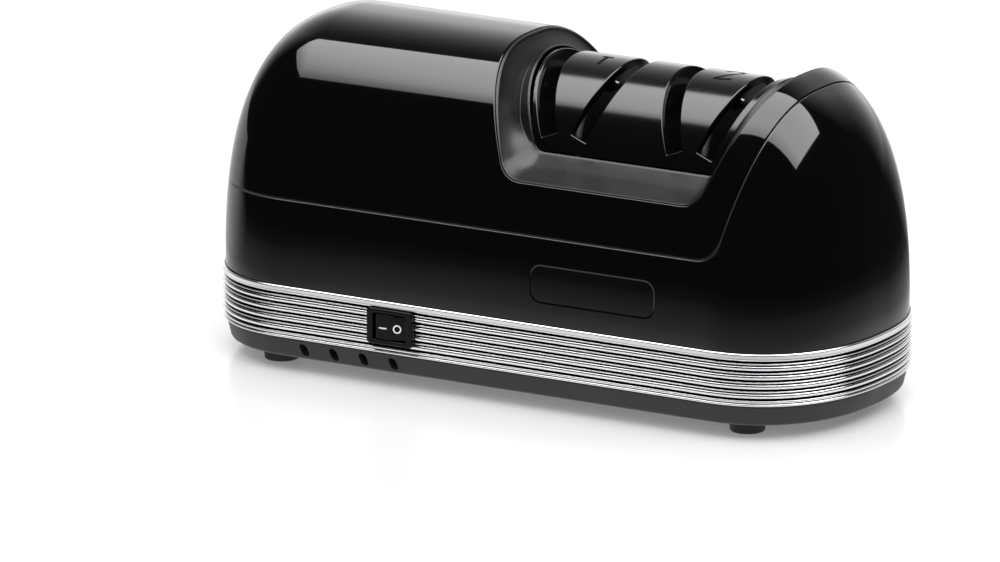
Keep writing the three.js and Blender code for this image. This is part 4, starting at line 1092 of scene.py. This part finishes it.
def turned(profile, axis, centre, sides=72):
    # A profile of [radius, along] points swept round an axis
    profile = np.asarray(profile, float)
    turn = np.linspace(0, 2 * math.pi, sides + 1)[:-1]
    radius, along = profile[:, 0][:, None], profile[:, 1][:, None]
    first, second = radius * np.cos(turn), radius * np.sin(turn)
    run = np.broadcast_to(along, first.shape)
    order = {"x": (run, first, second), "y": (first, run, second), "z": (first, second, run)}[axis]
    return closedForm(np.stack(order, 2) + np.array(centre, float))


def wallInset(z):
    share = (z - base["low"] - base["edge"]) / (base["top"] - base["low"] - base["edge"])
    return base["footInset"] + (base["topInset"] - base["footInset"]) * share


def baseProfiles():
    # The outer skin from the middle of the underside up the wall, and the inner skin beside it
    low, edge, top, wall = base["low"], base["edge"], base["top"], base["wall"]
    turn = np.radians([90, 68, 45, 22, 0])
    start = wallInset(low + edge)
    heights = np.linspace(low + edge, top - base["topStraight"], base["wallCells"])[1:]
    outer = np.concatenate([
        np.stack([start + edge * (1 - np.cos(turn)), low + edge * (1 - np.sin(turn))], 1),
        np.stack([wallInset(heights), heights], 1),
        [(base["topInset"] + inset, top + up) for inset, up in base["topRound"]],
    ])
    inset, z = outer.T
    inner = np.stack([np.maximum(inset, wallInset(z)) + wall, np.maximum(z, low + base["floor"])], 1)
    return outer, inner


def floorRings(inset, z):
    ring = ventedPlanAt(inset)
    shares = np.linspace(0, 1, base["floorCells"] + 1)[:-1]
    return np.array([atHeight(ring * share, z) for share in shares])


def ventDistance(points):
    # Leaning ovals in the front and rear walls
    half = base["ventWidth"] / 2
    low, high = base["ventLow"] + half, base["ventHigh"] - half
    z = points[:, 2] - np.clip(points[:, 2], low, high)
    x = points[:, 0] + (points[:, 2] - (low + high) / 2) * base["ventLean"]
    away = np.min([np.hypot(x - vent, z) for vent in ventX], axis=0)
    return np.where(np.abs(points[:, 1]) > body["halfWidth"] / 2, half - away, farOut)


def wellDistance(points):
    away = np.min([np.hypot(points[:, 0] - x, points[:, 1] - y) for x, y in base["wellPlaces"]], axis=0)
    return np.where(points[:, 2] < base["low"] + base["underside"], base["wellRadius"] - away, farOut)


def wellTube(x, y):
    # The tube over a screw well, with a floor that the screw's head bears on
    radius, bore, seat, top = (base[name] for name in ("wellRadius", "wellBore", "wellSeat", "wellTop"))
    wide, lip = radius + base["wellWall"], radius + base["wellLip"]
    foot, shoulder = base["low"] + base["wellFoot"], base["low"] + base["wellShoulder"]
    profile = [
        (radius, foot), (lip, foot), (lip, shoulder), (wide, shoulder), (wide, top),
        (bore, top), (bore, seat), (radius, seat), (radius, foot),
    ]
    return turned(profile, "z", (x, y, 0), base["wellSides"])


def trayForm():
    # Both skins with their normals side by side, cut by the vents and the wells together
    levels = (base["low"], base["low"] + base["floor"])
    grids = [
        np.concatenate([floorRings(profile[0, 0], z), planForm(profile, ventedPlanAt)])
        for profile, z in zip(baseProfiles(), levels)
    ]
    rows, columns = grids[0].shape[:2]
    points = np.concatenate([
        *[grid.reshape(-1, 3) for grid in grids],
        *[gridNormals(grid).reshape(-1, 3) for grid in grids],
    ], 1)
    faces = gridFaces(rows, columns, closeColumns=True)[2 * columns:]
    hub = points[columns * 2 : columns * 3].mean(0)
    here = np.arange(columns) + 2 * columns
    fan = np.stack([np.full(columns, len(points)), np.roll(here, -1), here], 1)
    points, faces = np.concatenate([points, hub[None]]), np.concatenate([faces, fan])
    for distanceOf in (ventDistance, wellDistance):
        points, faces = splitAlong(points, faces, distanceOf(points))
        faces = faces[distanceOf(points[faces].mean(1)) < 0]
    points, faces = compact(points, faces)
    outer = points[:, :3]
    underneath = outer[faces[:, 0], 2] < base["low"] + base["underside"]
    if (faceCross(outer, faces)[:, 2] * underneath).sum() > 0:
        faces = faces[:, ::-1]
    facing = np.zeros((len(points), 3))
    np.add.at(facing, faces.ravel(), np.repeat(faceCross(outer, faces), 3, axis=0))
    sides = []
    for normals in (points[:, 6:9], points[:, 9:12]):
        lost = np.linalg.norm(normals, axis=1, keepdims=True) < 0.5
        sides.append(unit(np.where(lost, facing, turnTowards(normals, facing))))
    tray = walled(outer, faces, sides[0], points[:, 3:6], sides[1])
    return joined([tray, *[wellTube(x, y) for x, y in base["wellPlaces"]]])


makePiece("baseTray", trayForm(), "baseMatt", ["base_tray"])
print("base tray")


# Turned pieces: feet, cord gland, wheels, springs and guide magnets

foot = {
    "radius": 5, "flare": 0.4, "top": 4.4, "stem": 2, "edge": 0.7,
    "rings": [(0, 0), (2.6, 0), (2.8, 0.35), (3.4, 0.35), (3.6, 0)],
}
for corner in ("front_left", "front_right", "rear_left", "rear_right"):
    node = "foot_" + corner
    stemTop = boxOf(node)[1][2]
    outline = [
        *foot["rings"], (foot["radius"], 0), (foot["radius"] + foot["flare"], foot["top"]),
        (foot["stem"], foot["top"]), (foot["stem"], stemTop), (0, stemTop),
    ]
    form = turned(fillet(outline, foot["edge"]), "z", middleOf(node) * [1, 1, 0])
    makePiece("foot" + corner.title().replace("_", ""), form, "footRubber", [node])

gland = {"hole": 4.2, "flange": 6.2, "bore": 2.6, "nose": 0.4, "edge": 0.8}


def glandForm():
    inside, outside = (corner[1] for corner in boxOf("cord_gland"))
    seat = body["halfWidth"] + body["gap"]
    hole, flange, bore = gland["hole"], gland["flange"], gland["bore"]
    profile = [
        (bore, inside), (hole, inside), (hole, seat), (flange, seat), (flange, (seat + outside) / 2),
        (hole + gland["nose"], outside), (bore, outside), (bore, inside),
    ]
    return turned(fillet(profile, gland["edge"]), "y", glandCentre)


makePiece("cordGland", glandForm(), "footRubber", ["cord_gland"])

wheel = {
    "plate": 2, "bevel": 1.3, "bevelWidth": 3.6, "hub": 4.6, "bore": 3.15, "pocket": 6,
    "pocketDepth": 0.6, "edge": 0.25, "edgeSteps": 3, "hubLength": 4, "brightRim": 0.5,
    "sides": 144,
}


def wheelForm(low, high, side):
    # A plate with a bevelled rim, a pocket behind and a hub; all but the rim is marked for painted shade
    radius = (high[2] - low[2]) / 2
    outerEnd = low[0] if side < 0 else high[0]
    face = outerEnd - side * wheel["hubLength"]
    inner = face - side * wheel["plate"]
    pocketFloor = inner + side * wheel["pocketDepth"]
    bore, pocket, hub = wheel["bore"], wheel["pocket"], wheel["hub"]
    profile = [
        (bore, pocketFloor), (pocket, pocketFloor), (pocket, inner), (radius, inner),
        (radius, face - side * wheel["bevel"]), (radius - wheel["bevelWidth"], face), (hub, face),
        (hub, outerEnd), (bore, outerEnd), (bore, pocketFloor),
    ]
    rounded = fillet(profile, wheel["edge"], wheel["edgeSteps"])
    form = turned(rounded, "x", (0, 0, barrel["axis"]), wheel["sides"])
    distance = np.hypot(form[0][:, 1], form[0][:, 2] - barrel["axis"])
    return form, np.where(distance > radius - wheel["brightRim"], 0.0, 1.0)


for stage in ("coarse", "fine"):
    for sideName, side in (("left", -1), ("right", 1)):
        node = f"{stage}_wheel_{sideName}"
        form, recess = wheelForm(*boxOf(node), side)
        makePiece(stage + "Wheel" + sideName.title(), form, "gritSteel", [node], node, recess)

spring = {"radius": 4.6, "wire": 0.5, "turns": 3, "steps": 32, "sides": 12}


def springForm(low, high, half):
    # Half of a round wire along a helix about the spindle, between two wheels
    share = np.linspace(half / 2, half / 2 + 0.5, spring["turns"] * spring["steps"] // 2 + 1)
    angle = 2 * math.pi * spring["turns"] * share
    out = np.stack([0 * angle, np.cos(angle), np.sin(angle)], 1)
    x = low + spring["wire"] + (high - low - 2 * spring["wire"]) * share
    line = out * spring["radius"] + np.stack([x, 0 * x, 0 * x + barrel["axis"]], 1)
    side = np.cross(unit(np.gradient(line, axis=0)), out)
    turn = np.linspace(0, 2 * math.pi, spring["sides"] + 1)[:-1, None]
    grid = line[:, None] + spring["wire"] * (out[:, None] * np.cos(turn) + side[:, None] * np.sin(turn))
    return closedForm(grid, capEnds=True)


for stage in ("coarse", "fine"):
    node = f"{stage}_wheel_spring"
    springLow, springHigh = boxOf(node)
    pairs = [(f"{stage}_wheel_left", "spindle"), ("spindle", f"{stage}_wheel_right")]
    for half, (pair, side) in enumerate(zip(pairs, ("Left", "Right"))):
        form = springForm(springLow[0], springHigh[0], half)
        makePiece(stage + "Spring" + side, form, "groundSteel", [node], pair)

magnet = {
    "radius": 0.9, "length": 1.0, "proud": 0.5, "edge": 0.2, "height": 87.2, "forward": 4.7,
    "sides": 36,
}


def magnetForm(place):
    # A disc that stands on the slot's inner wall, turned with the slot
    centre, side = place
    up = (magnet["height"] - slots["bottom"]) / math.cos(slots["lean"])
    start, end, radius = -magnet["proud"], magnet["length"], magnet["radius"]
    profile = fillet([(0, start), (radius, start), (radius, end), (0, end)], magnet["edge"])
    points, faces, corners = turned(profile, "x", (slots["width"] / 2, 0, 0), magnet["sides"])
    mirror = np.array([-side, 1, 1])
    turnBy = np.array(Matrix.Rotation(slots["lean"] * side, 3, "Y"))
    points = (points * mirror + [0, -magnet["forward"], up]) @ turnBy.T + [centre, 0, slots["bottom"]]
    corners = (corners * mirror) @ turnBy.T
    if side > 0:
        faces, corners = faces[:, ::-1], corners[:, ::-1]
    return points, faces, corners


for index, place in enumerate(slotPlaces, 1):
    node = f"guide_magnet_{index}"
    makePiece(f"guideMagnet{index}", magnetForm(place), "brightMagnet", [node])
print("turned pieces")


# The rocker switch

switchLow, switchHigh = boxOf("switch_frame")
switch = {
    "x": switchCentre[0], "z": switchCentre[2], "halfX": (switchHigh[0] - switchLow[0]) / 2,
    "halfZ": (switchHigh[2] - switchLow[2]) / 2, "face": switchLow[1], "corner": 1.0,
    "leastCorner": 0.1, "edge": 0.5, "mouthX": 5.45, "mouthZ": 3.95, "mouthCorner": 0.5,
    "mouthEdge": 0.35, "depth": 5.5, "seat": -body["halfWidth"] + 0.8, "bodyX": 6.4,
    "back": switchHigh[1],
}


def roundedLoop(halfX, halfZ, corner, steps=8):
    # Four quarter rounds joined by straight sides
    turn = np.linspace(0, quarter, steps + 1)
    first = np.stack([np.cos(turn), np.sin(turn)], 1) * corner + [halfX - corner, halfZ - corner]
    second = first[::-1] * [-1, 1]
    return np.concatenate([first, second, -first, -second])


def switchRow(inset, y, mouth=False):
    if mouth:
        sizes = (switch["mouthX"] + inset, switch["mouthZ"] + inset, switch["mouthCorner"] + inset)
    else:
        corner = max(switch["corner"] - inset, switch["leastCorner"])
        sizes = (switch["halfX"] - inset, switch["halfZ"] - inset, corner)
    loop = roundedLoop(*sizes)
    return np.stack([switch["x"] + loop[:, 0], np.full(len(loop), y), switch["z"] + loop[:, 1]], 1)


def switchForm():
    # From the back of the body over the flange and its rounded edge, and down into the mouth
    edge, face = switch["edge"], switch["face"]
    turn = np.radians([0, 18, 36, 54, 72, 90])
    slim = switch["halfX"] - switch["bodyX"]
    rows = [switchRow(slim, switch["back"]), switchRow(slim, switch["seat"]), switchRow(0, switch["seat"])]
    rows += [switchRow(edge * (1 - math.cos(a)), face + edge * (1 - math.sin(a))) for a in turn]
    lip = switch["mouthEdge"]
    rows += [switchRow(lip * (1 - math.sin(a)), face + lip * (1 - math.cos(a)), True) for a in turn]
    rows.append(switchRow(0, face + switch["depth"], True))
    return closedForm(np.array(rows), capEnds=True)


makePiece("switchFrame", switchForm(), "switchBlack", ["switch_frame"])

rocker = {
    "halfX": 4.85, "halfZ": 3.65, "edge": 0.3, "tilt": math.radians(8),
    "pivot": -body["halfWidth"] + 2.4, "face": -body["halfWidth"] - 0.65, "depth": 3.2,
    "stations": 40, "flatCells": 6,
}


def rockerPlace(u, v, sink):
    # The face is a shallow V about the pivot, and the whole rocker is tilted about it at rest
    y = rocker["face"] - (rocker["halfX"] - np.abs(u)) * math.tan(rocker["tilt"]) + sink - rocker["pivot"]
    cosine, sine = math.cos(rocker["tilt"]), math.sin(rocker["tilt"])
    x = switch["x"] + u * cosine - y * sine
    return np.stack([x, rocker["pivot"] + u * sine + y * cosine, switch["z"] + v], -1)


def rockerForm():
    # Sections across the rocker at stations along it, each with rounded front edges
    edge, top = rocker["edge"], rocker["halfZ"]
    turn = np.radians([0, 22, 45, 68, 90])
    rounds = [(edge * (1 - math.cos(a)), edge * (1 - math.sin(a))) for a in turn]
    ends = np.array([(rocker["halfX"] - inward, sink) for inward, sink in rounds])
    inside = np.linspace(-ends[-1, 0], ends[-1, 0], rocker["stations"] + 1)
    u = np.concatenate([-ends[:-1, 0], inside, ends[:-1, 0][::-1]])
    drop = np.concatenate([ends[:-1, 1], 0 * inside, ends[:-1, 1][::-1]])
    rounded = np.array([(top, rocker["depth"]), *[(top - inward, sink) for inward, sink in rounds]])
    flat = np.linspace(-top + edge, top - edge, rocker["flatCells"] + 1)[1:-1]
    across = np.concatenate([rounded * [-1, 1], np.stack([flat, 0 * flat], 1), rounded[::-1]])
    v, sink = across.T
    rows = [rockerPlace(np.full(len(v), where), v, np.maximum(sink, low)) for where, low in zip(u, drop)]
    return closedForm(np.array(rows), capEnds=True)


makePiece("switchRocker", rockerForm(), "switchBlack", ["switch_rocker"], "switch_rocker")

marks = {
    "dashHalf": 1.25, "dashX": -2.5, "dashZ": -0.3, "ringX": 2.0, "ringZ": -0.2, "ringRadius": 1.05,
    "width": 0.42, "lift": 0.04, "dashCells": 6, "ringCells": 40,
}


def markPlace(u, v, lift):
    return rockerPlace(u, v, -marks["lift"] * lift)


def markPaths():
    # The dash and the ring
    along = np.linspace(-1, 1, marks["dashCells"] + 1) * marks["dashHalf"] + marks["dashX"]
    around = np.linspace(0, 2 * math.pi, marks["ringCells"] + 1)
    ringX = marks["ringX"] + marks["ringRadius"] * np.cos(around)
    ringZ = marks["ringZ"] + marks["ringRadius"] * np.sin(around)
    return np.stack([along, np.full(len(along), marks["dashZ"])], 1), np.stack([ringX, ringZ], 1)


markForms = [strokeForm(path, marks["width"], markPlace) for path in markPaths()]
makePiece("switchMarks", joined(markForms), "markWhite", bodyName="switch_rocker")
print("switch")


# Frame nodes that stay as they are get the finish of what they are made of


def named(stems, endings):
    return [f"{stem}_{ending}" for stem in stems for ending in endings]


leftRight, frontRear = ("left", "right"), ("front", "rear")
innerFinishes = {
    "castZinc": ["drive_frame", *named(["motor_end_frame"], leftRight)],
    "groundSteel": [
        "stator_core", "armature_core", "motor_shaft", "grinding_spindle", "coarse_wheel_spring",
        "fine_wheel_spring", *named(["coarse_clip", "fine_clip"], leftRight),
        *named(["motor_screw"], frontRear), *named(["base_screw_front", "base_screw_rear"], leftRight),
    ],
    "copperWire": [
        *named(["armature_winding"], leftRight), *named(["field_coil"], ("lower", "upper")), "commutator",
    ],
    "bronze": [
        "shaft_coupling", *named(["motor_bearing", "spindle_bearing"], leftRight),
        *named(["brush_holder"], frontRear), *named(["switch_terminal"], (1, 2)),
    ],
    "carbonBlock": named(["carbon_brush"], frontRear), "boardLaminate": ["circuit_board"],
    "baseMatt": ["cooling_fan", "capacitor"],
}
for name, members in innerFinishes.items():
    for node in members:
        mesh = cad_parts[node].data
        mesh.materials.clear()
        mesh.materials.append(finish[name])
print("inner nodes")


# Floor, surroundings, lamps and camera

floorLook = {
    "half": 9.0, "colour": (0.82, 0.82, 0.82), "roughness": 0.22,
    "lift": (0.16, 0.36),  # white added to what the camera sees, near the object and far off
    "liftRange": (0.15, 0.75), "reach": 0.3,
    # what the body mirrors of the floor, by distance from the line through its middle
    "mirrored": [(0.4, 0.92), (0.483, 0.42), (0.617, 0.22), (0.75, 0.07), (1, 0.025)],
    "leftFrom": -0.12, "leftTo": -0.22, "leftAcross": (-0.13, 0.02), "left": 0.85,
}
surroundings = {
    "backdropToward": (-0.407, 0.914, 0),  # the white backdrop stands behind the object
    "edge": (0.64, 0.97), "widerUp": 0.35,
    "fade": (0.1, 0.84, 1, 0.06),  # from this height to that, from the first level to the second
    "bright": 1.65, "dark": 0.022,
}


def backdropShare(tree, place, height):
    # How far a heading lies within the backdrop: the square of a ramp over its cosine to the middle
    level = addNode(tree, "VectorMath", {0: place, 1: (1, 1, 0)}, operation="MULTIPLY").outputs[0]
    heading = addNode(tree, "VectorMath", {0: level}, operation="NORMALIZE").outputs[0]
    middle = {0: heading, 1: surroundings["backdropToward"]}
    facing = addNode(tree, "VectorMath", middle, operation="DOT_PRODUCT").outputs["Value"]
    wide = mathNode(tree, "ADD", facing, mathNode(tree, "MULTIPLY", height, surroundings["widerUp"]))
    share = rampNode(tree, wide, *surroundings["edge"])
    return mathNode(tree, "MULTIPLY", share, share)


def makeSheet(name, materialName, halfX, halfY):
    # A level rectangle, and the tree of its own material
    mesh = bpy.data.meshes.new(name)
    corners = [(-halfX, -halfY, 0), (halfX, -halfY, 0), (halfX, halfY, 0), (-halfX, halfY, 0)]
    mesh.from_pydata(corners, [], [(0, 1, 2, 3)])
    material = bpy.data.materials.new(materialName)
    material.use_nodes = True
    mesh.materials.append(material)
    return linkObject(name, mesh), material.node_tree


def placeParts(tree, output):
    # Where a shader is, whole and as its three coordinates
    place = addNode(tree, "TexCoord").outputs[output]
    return place, addNode(tree, "SeparateXYZ", {0: place}).outputs


def makeFloor():
    # White to the camera; to reflections it darkens away from the line through the body's middle
    floor, tree = makeSheet("floor", "floorWhite", floorLook["half"], floorLook["half"])
    shader = tree.nodes["Principled BSDF"]
    feed(tree, shader, {"Base Color": (*floorLook["colour"], 1), "Roughness": floorLook["roughness"]})
    rays = addNode(tree, "LightPath").outputs
    place, split = placeParts(tree, "Object")
    beyond = mathNode(tree, "SUBTRACT", mathNode(tree, "ABSOLUTE", split["X"]), straightHalf * millimetre)
    alongSquare = mathNode(tree, "POWER", mathNode(tree, "MAXIMUM", beyond, 0), 2)
    acrossSquare = mathNode(tree, "POWER", mathNode(tree, "ABSOLUTE", split["Y"]), 2)
    radius = mathNode(tree, "SQRT", mathNode(tree, "ADD", alongSquare, acrossSquare))
    curve = addNode(tree, "ValToRGB", {"Fac": mathNode(tree, "DIVIDE", radius, floorLook["reach"])})
    stops = curve.color_ramp.elements
    for index, (position, level) in enumerate(floorLook["mirrored"]):
        stop = stops[index] if index < 2 else stops.new(position)
        stop.position, stop.color = position, (level, level, level, 1)
    leftEnds = (floorLook["leftTo"], floorLook["leftFrom"], floorLook["left"], 0)
    left = rampNode(tree, split["X"], *leftEnds, "SMOOTHSTEP")
    rear = rampNode(tree, split["Y"], *floorLook["leftAcross"], kind="SMOOTHSTEP")
    near = mathNode(tree, "MAXIMUM", curve.outputs["Color"], mathNode(tree, "MULTIPLY", left, rear))
    seen = mathNode(tree, "MAXIMUM", near, backdropShare(tree, place, split["Z"]))
    mirrored = addNode(tree, "Emission", {"Strength": seen})
    lift = rampNode(tree, radius, *floorLook["liftRange"], *floorLook["lift"], "SMOOTHSTEP")
    lifted = addNode(tree, "Emission", {"Strength": mathNode(tree, "MULTIPLY", rays["Is Camera Ray"], lift)})
    both = addNode(tree, "AddShader", {0: shader.outputs[0], 1: lifted.outputs[0]})
    byReflection = mathNode(tree, "MAXIMUM", rays["Is Glossy Ray"], rays["Is Transmission Ray"])
    choice = addNode(tree, "MixShader", {0: byReflection, 1: both.outputs[0], 2: mirrored.outputs[0]})
    feed(tree, tree.nodes["Material Output"], {"Surface": choice.outputs[0]})


def makeWorld():
    # White to the camera; to reflections a backdrop that fades upwards in a dark room
    world = bpy.data.worlds.new("studio")
    bpy.context.scene.world = world
    world.use_nodes = True
    tree = world.node_tree
    place, split = placeParts(tree, "Generated")
    height = rampNode(tree, split["Z"], *surroundings["fade"])
    shape = mathNode(tree, "MULTIPLY", backdropShare(tree, place, split["Z"]), height)
    glow = mathNode(tree, "MULTIPLY", shape, surroundings["bright"])
    mirrored = mathNode(tree, "MAXIMUM", glow, surroundings["dark"])
    rays = addNode(tree, "LightPath").outputs
    seenWhite = mathNode(tree, "MAXIMUM", rays["Is Camera Ray"], rays["Is Transmission Ray"])
    strength = addNode(tree, "Mix", {"Factor": seenWhite, "A": mirrored, "B": 1}).outputs["Result"]
    feed(tree, tree.nodes["Background"], {"Color": (1, 1, 1, 1), "Strength": strength})


makeFloor()
makeWorld()

softbox = {
    "centre": (-0.017, -0.099, 0.608), "long": (0.924, 0.302, -0.235),
    "short": (-0.306, 0.952, 0.023), "halfLong": 0.728, "halfShort": 0.275, "radiance": 6.7,
    "frontLevel": 0.7,  # it fades towards its front edge
    "frontFrom": -0.45,
    "leftLevel": 0.45,  # and its left end
    "leftFrom": -0.5, "plainPower": 7.0,
}
fill = {"power": 12.0, "at": (0.6, -1.4, 0.9), "turn": 23, "tip": 58, "size": (1.6, 1.2)}


def softboxPlace():
    across = Vector(softbox["long"]).normalized()
    up = (Vector(softbox["short"]) - across * across.dot(Vector(softbox["short"]))).normalized()
    turn = Matrix((across, up, across.cross(up))).transposed().to_4x4()
    return Matrix.Translation(softbox["centre"]) @ turn


def fillPlace():
    turn = Matrix.Rotation(math.radians(fill["turn"]), 4, "Z")
    return Matrix.Translation(fill["at"]) @ turn @ Matrix.Rotation(math.radians(fill["tip"]), 4, "X")


def makeMirroredSoftbox():
    # A glowing sheet that only reflections see
    half, depth = softbox["halfLong"], softbox["halfShort"]
    sheet, tree = makeSheet("softboxSheet", "softboxGlow", half, depth)
    sheet.matrix_world = softboxPlace()
    split = placeParts(tree, "Object")[1]
    frontEnds = (-depth, softbox["frontFrom"] * depth, softbox["frontLevel"], 1)
    leftEnds = (-half, softbox["leftFrom"] * half, softbox["leftLevel"], 1)
    front = rampNode(tree, split["Y"], *frontEnds, "SMOOTHSTEP")
    left = rampNode(tree, split["X"], *leftEnds, "SMOOTHSTEP")
    level = mathNode(tree, "MULTIPLY", mathNode(tree, "MULTIPLY", front, left), softbox["radiance"])
    glow = addNode(tree, "Emission", {"Strength": level})
    feed(tree, tree.nodes["Material Output"], {"Surface": glow.outputs[0]})
    sheet.visible_camera = sheet.visible_diffuse = sheet.visible_shadow = False


def makePlainLamp(name, power, place, width, depth):
    lamp = bpy.data.lights.new(name, "AREA")
    lamp.shape = "RECTANGLE"
    lamp.size, lamp.size_y = width, depth
    lamp.energy = power
    thing = linkObject(name, lamp)
    thing.matrix_world = place
    thing.visible_camera = thing.visible_glossy = thing.visible_transmission = False


makeMirroredSoftbox()
makePlainLamp(
    "softboxPlain", softbox["plainPower"], softboxPlace(), 2 * softbox["halfLong"], 2 * softbox["halfShort"],
)
makePlainLamp("fillPlain", fill["power"], fillPlace(), *fill["size"])

view = {
    "azimuth": math.radians(30.10), "elevation": math.radians(15.21), "roll": math.radians(0.133),
    "distance": 3.720,
    "focal": 12941.0,  # in pixels of the photograph
    "width": 1000,
    "originAt": (565.12, 369.71),  # where the origin falls in the photograph
    "middle": (500, 281), "sensor": 36, "clip": (0.1, 30),
}


def makeCamera():
    # The camera stands where the photograph's did and looks through the middle of its frame
    azimuth, elevation = view["azimuth"], view["elevation"]
    right = Vector((math.cos(azimuth), math.sin(azimuth), 0))
    level = math.cos(elevation)
    back = Vector((math.sin(azimuth) * level, -math.cos(azimuth) * level, math.sin(elevation)))
    up = back.cross(right)
    cosine, sine = math.cos(view["roll"]), math.sin(view["roll"])
    right, up = right * cosine + up * sine, up * cosine - right * sine
    offX = view["middle"][0] - view["originAt"][0]
    offY = view["originAt"][1] - view["middle"][1]
    place = back * view["distance"]
    forward = (right * offX + up * offY - back * view["focal"]).normalized()
    right = forward.cross(up).normalized()
    up = right.cross(forward)
    camera = bpy.data.cameras.new("camera")
    camera.sensor_width = view["sensor"]
    camera.lens = view["focal"] / view["width"] * camera.sensor_width
    camera.clip_start, camera.clip_end = view["clip"]
    thing = linkObject("camera", camera)
    thing.matrix_world = Matrix.Translation(place) @ Matrix((right, up, -forward)).transposed().to_4x4()
    bpy.context.scene.camera = thing


makeCamera()
bpy.context.scene.view_settings.view_transform = "Standard"
print("stage")
